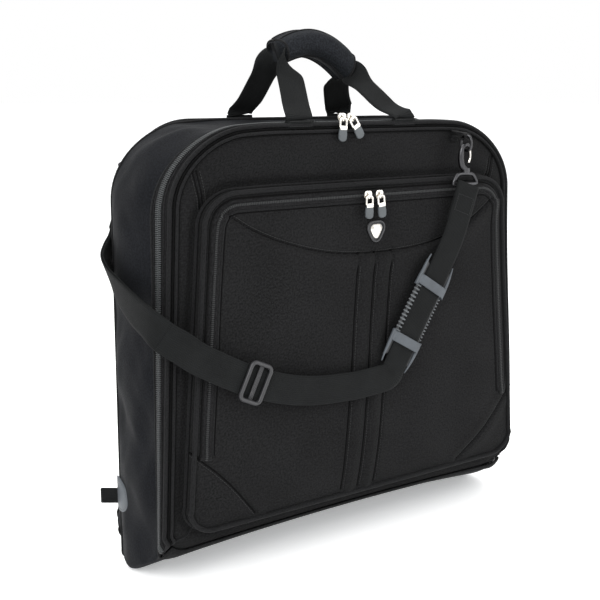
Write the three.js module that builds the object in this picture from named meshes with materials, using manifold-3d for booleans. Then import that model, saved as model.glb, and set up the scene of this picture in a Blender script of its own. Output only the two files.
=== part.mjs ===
// Bi-fold garment bag: a deep front case with a zipped lid, a thin rear half that folds
// against it, two webbing handles joined by a wrap, and a shoulder strap with a pad.
// Millimetres, +Z up, +X right seen from the front, the front faces -Y.
// The origin is the middle of the flat fold that the bag stands on.
import * as THREE from "three";
import Module from "manifold-3d";
import { mergeVertices } from "three/addons/utils/BufferGeometryUtils.js";

const wasm = await Module();
wasm.setup();

// ---- Driving dimensions ----
const GAP = 0.3; // clearance between touching pieces
const CLOTH = 2.5; // thickness of a lined fabric wall

const HALF_BOTTOM = 292; // half width of the case at its bottom
const HALF_TOP = 268; // half width of the case at its top
const CASE_BOTTOM = 40; // where the walls meet the fold
const CASE_TOP = 570;
const CASE_FRONT = -55; // front edge of the gusset
const CASE_BACK = 58; // rear face of the case
const CORNER_RADIUS = 90; // top corners

const LID_INSET = 6; // lid edge inside the gusset outline
const LID_BOTTOM = 52;
const LID_TOP = 562;
const LID_BACK = -58;
const LID_THICKNESS = 9;
const LID_FRONT = LID_BACK - LID_THICKNESS;

const POCKET = { halfBottom: 262, halfTop: 228, z0: 78, z1: 486, radius: 34, depth: 20, x: 6 };
const POCKET_FRONT = LID_FRONT - GAP - POCKET.depth;

const BACK_FRONT = 62; // front face of the rear half
const BACK_REAR = 90;
const BACK_BOTTOM = 22;
const BACK_TOP = 566;
const BACK_HALF_BOTTOM = 280;
const BACK_HALF_TOP = 258;

const SPINE_FRONT = -42; // flat of the fold that meets the ground
const SPINE_BACK = 60;

const TAB = { z: 86, reach: 22, splay: 0.98 }; // pull loop at the rear edge, splayed outwards
const WEBBING = 38; // standard 1.5 inch webbing
const WEBBING_THICKNESS = 2.6;
const HANDLE_X = -10; // the handles sit left of the middle
const HANDLE_SPREAD = 80; // handle leg centres from the middle
const GRIP = { x: 57, y: 13, z: 672 }; // half length, and where the two webbings meet

const STRAP_FRONT = -103; // outer face of the strap across the lid
const STRAP_SIDE = -306; // outer face of the strap beside the gusset
const PAD = { x: 77, z: 313, length: 136, width: 48, angle: Math.atan2(71, 117) };
const BUCKLE = { x: -178, z: 261, angle: Math.atan2(-134, 64) };
const alongPad = (reach) => [PAD.x + reach * Math.sin(PAD.angle), PAD.z + reach * Math.cos(PAD.angle)];
const STRAP_ROUTE = [
  [160, 481], [134, 410], alongPad(78), alongPad(0), alongPad(-75), alongPad(-90), [4, 232], [-40, 231],
  [-110, 238], [-178, 261], [-244, 296], [-316, 348],
];
const STRAP_SIDE_ROUTE = [[-112, 338], [-60, 352], [-5, 372], [30, 390], [70, 412], [106, 432]];
const STRAP_BACK = 93.6; // inner face of the strap behind the rear half
const STRAP_BACK_ROUTE = [[-315, 429], [-288, 442], [-260, 466], [-236, 500]];
const REAR_HOOK_TILT = 0.75; // the rear hook leans towards the strap's pull

const MAIN_SLIDER_MIDDLE = -22; // the two main sliders meet left of the middle
const MAIN_SLIDER_X = 7;
const POCKET_SLIDER_X = 9;

// ---- Materials ----
function material(color, roughness, metalness = 0) {
  return new THREE.MeshStandardMaterial({ color, roughness, metalness });
}
const BLACK_CLOTH = () => material(0x242426, 0.85);
const GUSSET_CLOTH = () => material(0x2c2e33, 0.8);
const PIPING = () => material(0x151516, 0.7);
const TAPE = () => material(0x1d1d1f, 0.85);
const STRAP = () => material(0x2f3434, 0.85);
const NICKEL = () => material(0xd9d5cb, 0.25, 1);
const DARK_METAL = () => material(0x3a3a3c, 0.35, 1);
const RUBBER = () => material(0x2b2c2e, 0.6);
const GREY_RUBBER = () => material(0x6a7378, 0.6);
const PLASTIC = () => material(0x1c1d1f, 0.45);
const LINING = () => material(0x3b3d42, 0.75);

// ---- Geometry helpers ----
const bag = new THREE.Group();
bag.name = "garment_bag";

function place(parent, name, geometry, mat) {
  const mesh = new THREE.Mesh(geometry, mat);
  mesh.name = name;
  parent.add(mesh);
  return mesh;
}

// An outline drawn in X and Z, made solid between y0 and y1 (y0 < y1).
function slab(shape, y0, y1, segments = 8) {
  const geometry = new THREE.ExtrudeGeometry(shape, {
    depth: y1 - y0,
    bevelEnabled: false,
    curveSegments: segments,
  });
  geometry.rotateX(Math.PI / 2);
  return geometry.translate(0, y1, 0);
}

// An outline drawn in Y and Z, made solid between x0 and x1 (x0 < x1).
function bar(shape, x0, x1, segments = 8) {
  const geometry = new THREE.ExtrudeGeometry(shape, {
    depth: x1 - x0,
    bevelEnabled: false,
    curveSegments: segments,
  });
  const axes = new THREE.Matrix4().makeBasis(
    new THREE.Vector3(0, 1, 0),
    new THREE.Vector3(0, 0, 1),
    new THREE.Vector3(1, 0, 0),
  );
  geometry.applyMatrix4(axes);
  return geometry.translate(x0, 0, 0);
}

function polygon(points) {
  return new THREE.Shape(points.map(([a, b]) => new THREE.Vector2(a, b)));
}

function box(x0, x1, y0, y1, z0, z1) {
  const geometry = new THREE.BoxGeometry(x1 - x0, y1 - y0, z1 - z0);
  return geometry.translate((x0 + x1) / 2, (y0 + y1) / 2, (z0 + z1) / 2);
}

function roundedRect(x0, x1, z0, z1, radius) {
  const shape = new THREE.Shape();
  shape.moveTo(x0 + radius, z0);
  shape.lineTo(x1 - radius, z0);
  shape.absarc(x1 - radius, z0 + radius, radius, -Math.PI / 2, 0);
  shape.lineTo(x1, z1 - radius);
  shape.absarc(x1 - radius, z1 - radius, radius, 0, Math.PI / 2);
  shape.lineTo(x0 + radius, z1);
  shape.absarc(x0 + radius, z1 - radius, radius, Math.PI / 2, Math.PI);
  shape.lineTo(x0, z0 + radius);
  shape.absarc(x0 + radius, z0 + radius, radius, Math.PI, 1.5 * Math.PI);
  return shape;
}

// A trapezium, wider at the bottom, with round top corners.
function tapered(halfBottom, halfTop, z0, z1, radius, middle = 0) {
  const slope = (halfTop - halfBottom) / (z1 - z0);
  const side = (z) => halfBottom + slope * (z - z0);
  const shape = new THREE.Shape();
  shape.moveTo(middle - halfBottom, z0);
  shape.lineTo(middle + halfBottom, z0);
  shape.lineTo(middle + side(z1 - radius), z1 - radius);
  shape.quadraticCurveTo(middle + side(z1), z1, middle + halfTop - radius, z1);
  shape.lineTo(middle - halfTop + radius, z1);
  shape.quadraticCurveTo(middle - side(z1), z1, middle - side(z1 - radius), z1 - radius);
  return shape;
}

// The same outline as a closed band of one width all round.
function taperedRing(halfBottom, halfTop, z0, z1, radius, width, middle = 0) {
  const shape = tapered(halfBottom, halfTop, z0, z1, radius, middle);
  const inner = [halfBottom - width, halfTop - width, z0 + width, z1 - width];
  shape.holes.push(tapered(...inner, Math.max(radius - width, 6), middle));
  return shape;
}

// The same outline as a band that is open along the bottom.
function taperedArch(halfBottom, halfTop, z0, z1, radius, width, middle = 0) {
  const outer = tapered(halfBottom, halfTop, z0, z1, radius, middle).getPoints(8);
  const inner = tapered(halfBottom - width, halfTop - width, z0, z1 - width, radius - width, middle).getPoints(8);
  const around = [...outer.slice(1), outer[0]];
  const back = [...inner.slice(1), inner[0]].reverse();
  return new THREE.Shape([...around, ...back]);
}

// A flat band of one width along a smooth route.
function ribbonOutline(route, width, steps) {
  const curve = new THREE.SplineCurve(route.map(([a, b]) => new THREE.Vector2(a, b)));
  const left = [];
  const right = [];
  for (let i = 0; i <= steps; i++) {
    const point = curve.getPointAt(i / steps);
    const along = curve.getTangentAt(i / steps);
    const across = new THREE.Vector2(-along.y, along.x).multiplyScalar(width / 2);
    left.push(point.clone().add(across));
    right.push(point.clone().sub(across));
  }
  return new THREE.Shape([...left, ...right.reverse()]);
}

function toSolid(geometry) {
  const plain = geometry.clone();
  plain.deleteAttribute("normal");
  plain.deleteAttribute("uv");
  const merged = mergeVertices(plain, 1e-4);
  return new wasm.Manifold(
    new wasm.Mesh({
      numProp: 3,
      vertProperties: new Float32Array(merged.attributes.position.array),
      triVerts: new Uint32Array(merged.index.array),
    }),
  );
}

function fromSolid(solid) {
  const mesh = solid.getMesh();
  const geometry = new THREE.BufferGeometry();
  geometry.setAttribute("position", new THREE.BufferAttribute(new Float32Array(mesh.vertProperties), 3));
  geometry.setIndex(new THREE.BufferAttribute(new Uint32Array(mesh.triVerts), 1));
  geometry.computeVertexNormals();
  return geometry;
}

function union(first, ...others) {
  return fromSolid(others.reduce((sum, geometry) => sum.add(toSolid(geometry)), toSolid(first)));
}

function cut(first, ...others) {
  return fromSolid(others.reduce((rest, geometry) => rest.subtract(toSolid(geometry)), toSolid(first)));
}

// ---- Case: gusset, rear panel, fold, frame ----
function buildCase() {
  const gusset = taperedArch(HALF_BOTTOM, HALF_TOP, CASE_BOTTOM, CASE_TOP, CORNER_RADIUS, CLOTH);
  place(bag, "case_gusset", slab(gusset, CASE_FRONT, CASE_BACK - CLOTH - GAP), GUSSET_CLOTH());

  const panel = tapered(HALF_BOTTOM, HALF_TOP, CASE_BOTTOM, CASE_TOP, CORNER_RADIUS);
  place(bag, "case_back_panel", slab(panel, CASE_BACK - CLOTH, CASE_BACK), LINING());

  // The fold that joins the two halves: a soft trough with a flat underside and closed ends.
  const rim = CASE_BOTTOM - GAP;
  const outside = polygon([
    [CASE_FRONT, rim], [CASE_FRONT, 26], [SPINE_FRONT, 0], [SPINE_BACK - 2, 0], [SPINE_BACK, 4], [SPINE_BACK, rim],
  ]);
  const hollow = polygon([
    [CASE_FRONT + 6, rim + 5], [CASE_FRONT + 6, 30], [SPINE_FRONT + 4, 8], [SPINE_BACK - 6, 8],
    [SPINE_BACK - 6, rim + 5],
  ]);
  const ends = HALF_BOTTOM - 6;
  const spine = cut(bar(outside, -HALF_BOTTOM, HALF_BOTTOM), bar(hollow, -ends, ends));
  place(bag, "fold_spine", spine, GUSSET_CLOTH());

  const inside = CLOTH + GAP;
  const frame = taperedArch(
    HALF_BOTTOM - inside, HALF_TOP - inside, CASE_BOTTOM, CASE_TOP - inside, CORNER_RADIUS - inside, 4,
  );
  place(bag, "edge_frame", slab(frame, CASE_FRONT + 4, CASE_FRONT + 8), PLASTIC());

  const tape = taperedArch(HALF_BOTTOM, HALF_TOP, CASE_BOTTOM, CASE_TOP - 3, CORNER_RADIUS, 12);
  place(bag, "case_zipper_tape", slab(tape, CASE_FRONT - 1.5, CASE_FRONT - GAP), TAPE());
}

// ---- Half-round rubber patches and pull-on tabs low on the rear edges of the gusset ----
function buildSidePatches() {
  const outer = HALF_BOTTOM + GAP;
  const patch = new THREE.Shape();
  patch.moveTo(56, 70);
  patch.lineTo(56, 116);
  patch.lineTo(46, 116);
  patch.absellipse(46, 93, 26, 23, Math.PI / 2, 1.5 * Math.PI);
  for (const [side, name] of [[-1, "left"], [1, "right"]]) {
    const x0 = side < 0 ? -outer - 2 : outer;
    place(bag, `corner_patch_${name}`, bar(patch, x0, x0 + 2), GREY_RUBBER());
    const tab = box(-1.5, 1.5, 0, TAB.reach, TAB.z - 10, TAB.z + 10);
    tab.rotateZ(-side * TAB.splay).translate(side * (HALF_BOTTOM - 6), CASE_BACK + 2, 0);
    place(bag, `side_tab_${name}`, tab, STRAP());
  }
}

// ---- Inside the case: hanger clamp at the top, crossed tie straps with a buckle ----
const CLAMP = { x: 0, y: 20, z: 536 };
function buildHangerClamp() {
  const roof = CASE_TOP - CLOTH - GAP;
  const back = CASE_BACK - CLOTH - GAP;
  const bracket = polygon([
    [back, 500], [back, roof], [CLAMP.y - 22, roof], [CLAMP.y - 22, roof - 5], [back - 5, roof - 5], [back - 5, 500],
  ]);
  const ears = [-1, 1].map((s) => {
    const x = s * 22;
    return box(x - 1.5, x + 1.5, CLAMP.y - 6, CLAMP.y + 8, CLAMP.z - 4, roof - 2);
  });
  place(bag, "hanger_bracket", union(bar(bracket, -26, 26), ...ears), PLASTIC());
  const lever = polygon([
    [CLAMP.y + 4, CLAMP.z + 4], [CLAMP.y + 4, CLAMP.z - 34], [CLAMP.y, CLAMP.z - 34], [CLAMP.y - 3, CLAMP.z + 4],
  ]);
  place(bag, "hanger_clamp_lever", bar(lever, -20, 20), NICKEL());
}

function buildTieStraps() {
  const y0 = CASE_BACK - CLOTH - GAP - 2;
  const y1 = CASE_BACK - CLOTH - GAP;
  const slope = 70;
  const left = polygon([[-250, 300 + slope], [-250, 325 + slope], [-24, 325], [-24, 300]]);
  const right = polygon([[24, 300], [24, 325], [250, 325 + slope], [250, 300 + slope]]);
  place(bag, "tie_strap_left", slab(left, y0, y1), STRAP());
  place(bag, "tie_strap_right", slab(right, y0, y1), STRAP());
  place(bag, "tie_buckle", slab(roundedRect(-23.5, 23.5, 296, 329, 5), y0 - 4, y1, 3), PLASTIC());
}

// ---- Lid: padded panel, piping, zipper tape, stiffener ----
function buildLid() {
  const halfBottom = HALF_BOTTOM - LID_INSET - 6;
  const halfTop = HALF_TOP - LID_INSET;
  const panel = tapered(halfBottom, halfTop, LID_BOTTOM, LID_TOP - 2, CORNER_RADIUS);
  place(bag, "lid_panel", slab(panel, LID_FRONT, LID_BACK), BLACK_CLOTH());

  const edge = 5;
  const piping = taperedRing(
    halfBottom + edge + GAP, halfTop + edge + GAP, LID_BOTTOM - edge - GAP, LID_TOP - 2 + edge + GAP,
    CORNER_RADIUS + edge, edge,
  );
  place(bag, "lid_piping", slab(piping, LID_FRONT - 1, LID_BACK), PIPING());

  const tape = taperedArch(halfBottom + 4, halfTop + 4, LID_BOTTOM, LID_TOP, CORNER_RADIUS, 10);
  place(bag, "lid_zipper_tape", slab(tape, LID_BACK + GAP, CASE_FRONT - 1.5 - GAP), TAPE());
}

// ---- Front pocket: hollow panel with its own piping and zipper ----
function buildPocket() {
  const { halfBottom, halfTop, z0, z1, radius, x } = POCKET;
  const back = LID_FRONT - 1 - GAP;
  const wall = 4;
  const outer = slab(tapered(halfBottom, halfTop, z0, z1, radius, x), POCKET_FRONT, back);
  const hollow = tapered(halfBottom - wall, halfTop - wall, z0 + wall, z1 - wall, radius - wall, x);
  place(bag, "pocket_panel", cut(outer, slab(hollow, POCKET_FRONT + wall, back + 2)), BLACK_CLOTH());

  const bead = 5;
  const piping = taperedRing(
    halfBottom + bead + GAP, halfTop + bead + GAP, z0 - bead - GAP, z1 + bead + GAP, radius + bead, bead, x,
  );
  place(bag, "pocket_piping", slab(piping, POCKET_FRONT + 6, POCKET_FRONT + 12), PIPING());

  const tape = taperedArch(halfBottom - 6, halfTop - 6, 140, z1 - 6, radius - 6, 12, x);
  place(bag, "pocket_zipper", slab(tape, POCKET_FRONT - 1.8, POCKET_FRONT - GAP), TAPE());
}

// ---- Plain badge: a rounded triangle with a metal inlay ----
function buildBadge() {
  const centre = { x: POCKET.x + 8, z: 430 };
  const shield = (half) => {
    const shape = new THREE.Shape();
    shape.moveTo(centre.x, centre.z - half * 1.15);
    shape.quadraticCurveTo(centre.x + half, centre.z - half * 0.5, centre.x + half, centre.z + half * 0.55);
    shape.quadraticCurveTo(centre.x, centre.z + half * 1.15, centre.x - half, centre.z + half * 0.55);
    shape.quadraticCurveTo(centre.x - half, centre.z - half * 0.5, centre.x, centre.z - half * 1.15);
    return shape;
  };
  const seat = POCKET_FRONT - GAP;
  place(bag, "badge_base", slab(shield(14), seat - 2.5, seat), PLASTIC());
  place(bag, "badge_inlay", slab(shield(9), seat - 2.5 - GAP - 1, seat - 2.5 - GAP), NICKEL());
}

// ---- Zipper sliders with their hanging pulls ----
function buildSlider(name, x, y, z, pullLength) {
  const body = slab(roundedRect(x - 4.5, x + 4.5, z - 5, z + 5, 2), y - 4, y, 3);
  place(bag, name, body, NICKEL());
  const pivotY = y - 5.8;
  const pull = roundedRect(x - 4.5, x + 4.5, z - 3 - pullLength, z - 2, 1.8);
  place(bag, `${name}_pull`, slab(pull, pivotY - 1.2, pivotY + 1.2, 3), GREY_RUBBER());
}

function buildSliders() {
  for (const [side, name] of [[-1, "left"], [1, "right"]]) {
    const mainX = MAIN_SLIDER_MIDDLE + side * MAIN_SLIDER_X;
    buildSlider(`main_slider_${name}`, mainX, LID_FRONT - 1 - GAP, LID_TOP + 8, 26);
    const pocketX = POCKET.x + side * POCKET_SLIDER_X;
    buildSlider(`pocket_slider_${name}`, pocketX, POCKET_FRONT - 2.2, POCKET.z1 - 12, 28);
  }
}

// ---- Handles: webbing arch plus half of the wrap on each ----
// side is -1 for the front handle and +1 for the rear one.
function buildHandle(name, footY, footZ, side) {
  const reach = GRIP.y + side * 2 - footY;
  const rise = Math.hypot(GRIP.z - footZ, reach);
  const handle = new THREE.Group();
  handle.position.set(HANDLE_X, footY, footZ);
  handle.rotation.x = -Math.atan2(reach, GRIP.z - footZ);
  bag.add(handle);

  const half = WEBBING / 2;
  const arch = new THREE.Shape();
  arch.moveTo(-HANDLE_SPREAD - half, 0);
  arch.lineTo(-HANDLE_SPREAD + half, 0);
  arch.quadraticCurveTo(-GRIP.x + 14, rise * 0.62, -GRIP.x + 16, rise - 32);
  arch.lineTo(GRIP.x - 16, rise - 32);
  arch.quadraticCurveTo(GRIP.x - 14, rise * 0.62, HANDLE_SPREAD - half, 0);
  arch.lineTo(HANDLE_SPREAD + half, 0);
  arch.quadraticCurveTo(GRIP.x + 6, rise * 0.8, GRIP.x - 12, rise);
  arch.lineTo(-GRIP.x + 12, rise);
  arch.quadraticCurveTo(-GRIP.x - 6, rise * 0.8, -HANDLE_SPREAD - half, 0);
  const thickness = WEBBING_THICKNESS;
  place(handle, `${name}_handle_webbing`, slab(arch, -thickness / 2, thickness / 2), STRAP());

  const wrap = roundedRect(-GRIP.x, GRIP.x, rise - 34, rise + 3, 7);
  const near = side * (thickness / 2 + GAP);
  const far = near + side * 5;
  place(handle, `${name}_grip_wrap`, slab(wrap, Math.min(near, far), Math.max(near, far), 3), BLACK_CLOTH());
}

// ---- Rear half: shallow shell, liner, edge binding ----
function buildRearHalf() {
  const outline = [BACK_HALF_BOTTOM, BACK_HALF_TOP, BACK_BOTTOM, BACK_TOP, 66];
  const lining = 2;
  const shellFront = BACK_FRONT + lining + GAP;
  const outer = slab(tapered(...outline), shellFront, BACK_REAR);
  const hollow = tapered(
    BACK_HALF_BOTTOM - 3, BACK_HALF_TOP - 3, BACK_BOTTOM + 3, BACK_TOP - 3, 63,
  );
  place(bag, "rear_shell", cut(outer, slab(hollow, shellFront - 2, BACK_REAR - 3)), GUSSET_CLOTH());
  place(bag, "rear_liner", slab(tapered(...outline), BACK_FRONT, BACK_FRONT + lining), LINING());
  const binding = taperedRing(
    BACK_HALF_BOTTOM + 4 + GAP, BACK_HALF_TOP + 4 + GAP, BACK_BOTTOM - 4 - GAP, BACK_TOP + 4 + GAP, 70, 4,
  );
  place(bag, "rear_binding", slab(binding, BACK_REAR - 8, BACK_REAR - 1), PIPING());
}

// ---- Shoulder strap ends: webbing tab, ring, snap hook, gate, swivel loop ----
// Built hanging from its own origin, the middle of the ring, flat in X and Z.
function buildStrapEnd(prefix, position, turn, tilt, tabReach) {
  const end = new THREE.Group();
  end.position.set(...position);
  end.rotation.set(0, tilt, turn);
  bag.add(end);

  const loop = roundedRect(-9, 9, 3, 17, 3);
  loop.holes.push(roundedRect(-3.5, 3.5, 6, 13, 2));
  const arm = box(-9, 9, 1, tabReach, 13.5, 17);
  place(end, `${prefix}_strap_tab`, union(slab(loop, -4, 4, 3), arm), STRAP());

  const ring = roundedRect(-11, 11, -11, 11, 5);
  ring.holes.push(roundedRect(-8, 8, -8, 8, 3));
  place(end, `${prefix}_ring`, bar(ring, -1.5, 1.5, 4), DARK_METAL());

  const hook = roundedRect(-10, 10, -36, 0, 9);
  hook.holes.push(roundedRect(-5, 5, -28, -4.5, 4.5));
  const throat = box(3, 12, -5, 5, -22, -10);
  place(end, `${prefix}_snap_hook`, cut(slab(hook, -2.5, 2.5, 5), throat), DARK_METAL());
  place(end, `${prefix}_hook_gate`, box(6, 9, -2, 2, -21, -10.5), NICKEL());

  const swivel = polygon([[-14, -39], [14, -39], [22, -51], [22, -56], [-22, -56], [-22, -51]]);
  swivel.holes.push(polygon([[-12, -43], [-18, -52], [18, -52], [12, -43]]));
  const stem = new THREE.CylinderGeometry(2.5, 2.5, 3.4, 10).rotateX(Math.PI / 2).translate(0, 0, -38);
  place(end, `${prefix}_swivel_loop`, union(slab(swivel, -2, 2), stem), DARK_METAL());
}

// ---- Shoulder strap: one run across the lid, one round the left side to the rear hook ----
function buildStrap() {
  const reach = 600;
  const inner = STRAP_FRONT + WEBBING_THICKNESS;
  const across = slab(ribbonOutline(STRAP_ROUTE, WEBBING, 44), STRAP_FRONT, inner);
  const corner = STRAP_SIDE + WEBBING_THICKNESS + GAP;
  const pastCorner = box(corner - 40, corner, STRAP_FRONT - 5, inner + 5, 0, reach);
  place(bag, "strap_front", cut(across, pastCorner), STRAP());

  const back = STRAP_BACK + WEBBING_THICKNESS;
  const beside = bar(ribbonOutline(STRAP_SIDE_ROUTE, WEBBING, 16), STRAP_SIDE, STRAP_SIDE + WEBBING_THICKNESS);
  const behind = slab(ribbonOutline(STRAP_BACK_ROUTE, WEBBING, 12), STRAP_BACK, back);
  const pastFront = box(STRAP_SIDE - 5, STRAP_SIDE + 5, STRAP_FRONT - 40, STRAP_FRONT, 0, reach);
  const pastBack = box(STRAP_SIDE - 5, STRAP_SIDE + 5, back, back + 40, 0, reach);
  const pastSide = box(STRAP_SIDE - 40, STRAP_SIDE, STRAP_BACK - 5, back + 5, 0, reach);
  const sideRun = cut(beside, union(pastFront, pastBack));
  place(bag, "strap_rear", union(sideRun, cut(behind, pastSide)), STRAP());
}

// The pad hangs in its own frame: Z along the strap, X across it.
function buildPad() {
  const pad = new THREE.Group();
  pad.position.set(PAD.x, STRAP_FRONT, PAD.z);
  pad.rotation.y = PAD.angle;
  bag.add(pad);
  const half = PAD.width / 2;
  const end = PAD.length / 2;
  const back = WEBBING_THICKNESS + GAP;
  const outline = new THREE.Shape();
  outline.moveTo(-half, -end);
  outline.quadraticCurveTo(0, -end + 26, half, -end);
  outline.quadraticCurveTo(half - 5, 0, half, end);
  outline.quadraticCurveTo(0, end - 26, -half, end);
  outline.quadraticCurveTo(-half + 5, 0, -half, -end);
  place(pad, "shoulder_pad", slab(outline, back, back + 4.5), RUBBER());
  for (const [side, name] of [[1, "upper"], [-1, "lower"]]) {
    const z = side * (end - 27);
    const plate = box(-half + 1, half - 1, -4, -GAP, z - 6, z + 6);
    const legs = [-1, 1].map((s) => {
      const x = s * (half - 2.5);
      return box(x - 1.5, x + 1.5, -2, back - GAP, z - 6, z + 6);
    });
    place(pad, `pad_bridge_${name}`, union(plate, ...legs), GREY_RUBBER());
  }
}

function buildBuckle() {
  const buckle = new THREE.Group();
  buckle.position.set(BUCKLE.x, STRAP_FRONT - GAP, BUCKLE.z);
  buckle.rotation.y = BUCKLE.angle;
  bag.add(buckle);
  const frame = roundedRect(-25, 25, -16, 16, 5);
  frame.holes.push(roundedRect(-20, 20, 3, 11, 1.5));
  frame.holes.push(roundedRect(-20, 20, -11, -3, 1.5));
  place(buckle, "strap_buckle", slab(frame, -4, 0, 3), PLASTIC());
}

buildCase();
buildSidePatches();
buildHangerClamp();
buildTieStraps();
buildLid();
buildPocket();
buildBadge();
buildSliders();
buildHandle("front", LID_FRONT + 4, LID_TOP + 6, -1);
buildHandle("rear", BACK_REAR - 12, BACK_TOP + 7, 1);
buildRearHalf();
buildStrapEnd("front", [160, -93, 535], 0, 0, 24);
buildStrapEnd("rear", [-200, BACK_REAR + 11.6, 535], Math.PI, REAR_HOOK_TILT, 11.3);
buildStrap();
buildPad();
buildBuckle();

export default bag;
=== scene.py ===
"""Looks of the bi-fold garment bag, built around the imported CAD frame. Metres, +Z up, front towards -Y."""

import math

import bmesh
import bpy
import numpy as np
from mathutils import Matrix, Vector


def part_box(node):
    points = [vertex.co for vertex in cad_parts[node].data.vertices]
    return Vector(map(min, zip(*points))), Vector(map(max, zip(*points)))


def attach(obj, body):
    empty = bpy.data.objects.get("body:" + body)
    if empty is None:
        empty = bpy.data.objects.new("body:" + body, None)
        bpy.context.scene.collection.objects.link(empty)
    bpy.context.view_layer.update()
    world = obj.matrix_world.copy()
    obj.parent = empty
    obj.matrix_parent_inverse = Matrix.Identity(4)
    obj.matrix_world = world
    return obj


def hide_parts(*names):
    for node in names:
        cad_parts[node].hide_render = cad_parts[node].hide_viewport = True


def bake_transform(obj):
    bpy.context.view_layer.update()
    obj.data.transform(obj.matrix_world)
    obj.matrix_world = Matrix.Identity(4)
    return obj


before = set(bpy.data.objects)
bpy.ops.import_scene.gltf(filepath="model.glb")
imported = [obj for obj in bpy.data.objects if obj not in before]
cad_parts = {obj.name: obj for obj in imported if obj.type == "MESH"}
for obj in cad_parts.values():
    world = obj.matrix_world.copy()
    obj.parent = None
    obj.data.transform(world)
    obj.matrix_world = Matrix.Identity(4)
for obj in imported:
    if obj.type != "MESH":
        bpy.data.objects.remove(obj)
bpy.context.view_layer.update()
MM = 0.001
SIDES = ((-1, "left"), (1, "right"))


# ---------------------------------------------------------------- materials
def new_material(name):
    material = bpy.data.materials.new(name)
    material.use_nodes = True
    tree = material.node_tree
    shader = tree.nodes["Principled BSDF"]
    return material, tree, shader


def link_bump(tree, shader, height, strength, distance):
    bump = tree.nodes.new("ShaderNodeBump")
    bump.inputs["Strength"].default_value = strength
    bump.inputs["Distance"].default_value = distance
    tree.links.new(height, bump.inputs["Height"])
    tree.links.new(bump.outputs["Normal"], shader.inputs["Normal"])


WAVE_SCALE = 0.314  # the wave texture's scale for one band per metre
CLOTH_MOTTLE = 0.7  # how far a cloth's tone strays from its colour, as a share


def wave(tree, coordinates, direction, pitch):
    """Bands across one UV direction, one band per pitch (metres)."""
    node = tree.nodes.new("ShaderNodeTexWave")
    node.wave_type = "BANDS"
    node.bands_direction = direction
    node.wave_profile = "SIN"
    node.inputs["Scale"].default_value = WAVE_SCALE / pitch
    node.inputs["Distortion"].default_value = 0.4
    node.inputs["Detail"].default_value = 1.0
    node.inputs["Detail Scale"].default_value = 2.0
    tree.links.new(coordinates, node.inputs["Vector"])
    return node.outputs["Fac"]


def math_node(tree, operation, a, b):
    node = tree.nodes.new("ShaderNodeMath")
    node.operation = operation
    for socket, value in zip(node.inputs, (a, b)):
        if isinstance(value, (int, float)):
            socket.default_value = value
        else:
            tree.links.new(value, socket)
    return node.outputs[0]


def weighted(tree, first, *others):
    """The sum of several patterns, each given with its weight."""
    total = math_node(tree, "MULTIPLY", *first)
    for pattern, weight in others:
        total = math_node(tree, "ADD", total, math_node(tree, "MULTIPLY", pattern, weight))
    return total


def noise_node(tree, coordinates, scale, detail=3.0):
    node = tree.nodes.new("ShaderNodeTexNoise")
    node.inputs["Scale"].default_value = scale
    node.inputs["Detail"].default_value = detail
    tree.links.new(coordinates, node.inputs["Vector"])
    return node.outputs["Fac"]


def colour_ramp(tree, factor, dark, light, low=0.3, high=0.7):
    ramp = tree.nodes.new("ShaderNodeValToRGB")
    ramp.color_ramp.elements[0].position = low
    ramp.color_ramp.elements[1].position = high
    ramp.color_ramp.elements[0].color = (*dark, 1)
    ramp.color_ramp.elements[1].color = (*light, 1)
    tree.links.new(factor, ramp.inputs["Fac"])
    return ramp.outputs["Color"]


def scaled(colour, factor):
    return tuple(c * factor for c in colour)


def cloth(name, colour, pitch=1.1 * MM, relief=0.35, roughness=0.78, sheen=0.012, basket=True):
    """Woven cloth: warp and weft from the UV map, which is in metres along the threads."""
    material, tree, shader = new_material(name)
    uv = tree.nodes.new("ShaderNodeTexCoord").outputs["UV"]
    warp = wave(tree, uv, "X", pitch)
    weft = wave(tree, uv, "Y", pitch)
    threads = math_node(tree, "MULTIPLY", warp, weft) if basket else weft
    patches = noise_node(tree, uv, 9.0)
    slubs = noise_node(tree, uv, 430.0, 3.0)
    fuzz = noise_node(tree, uv, 900.0, 2.0)
    tone = weighted(tree, (threads, 0.25), (patches, 0.2), (slubs, 0.75))
    dark, light = scaled(colour, 1 - CLOTH_MOTTLE), scaled(colour, 1 + CLOTH_MOTTLE)
    tree.links.new(colour_ramp(tree, tone, dark, light, 0.4, 0.72), shader.inputs["Base Color"])
    shader.inputs["Roughness"].default_value = roughness
    shader.inputs["Specular IOR Level"].default_value = 0.06
    shader.inputs["Sheen Weight"].default_value = sheen
    shader.inputs["Sheen Roughness"].default_value = 0.5
    height = math_node(tree, "ADD", threads, math_node(tree, "MULTIPLY", fuzz, 0.5))
    link_bump(tree, shader, height, relief, 0.35 * MM)
    return material


def webbing_material(name, colour):
    """Ribbed webbing: ribs run along the strap (UV V), fine picks cross it (UV U)."""
    material, tree, shader = new_material(name)
    uv = tree.nodes.new("ShaderNodeTexCoord").outputs["UV"]
    ribs = wave(tree, uv, "X", 2.4 * MM)
    picks = wave(tree, uv, "Y", 1.3 * MM)
    height = math_node(tree, "ADD", math_node(tree, "MULTIPLY", ribs, 0.5), picks)
    patches = noise_node(tree, uv, 30.0)
    tone = weighted(tree, (height, 0.3), (patches, 0.5))
    colours = colour_ramp(tree, tone, scaled(colour, 0.6), scaled(colour, 1.45), 0.25, 0.7)
    tree.links.new(colours, shader.inputs["Base Color"])
    shader.inputs["Roughness"].default_value = 0.72
    shader.inputs["Specular IOR Level"].default_value = 0.07
    shader.inputs["Sheen Weight"].default_value = 0.015
    link_bump(tree, shader, height, 0.8, 0.5 * MM)
    return material


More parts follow.
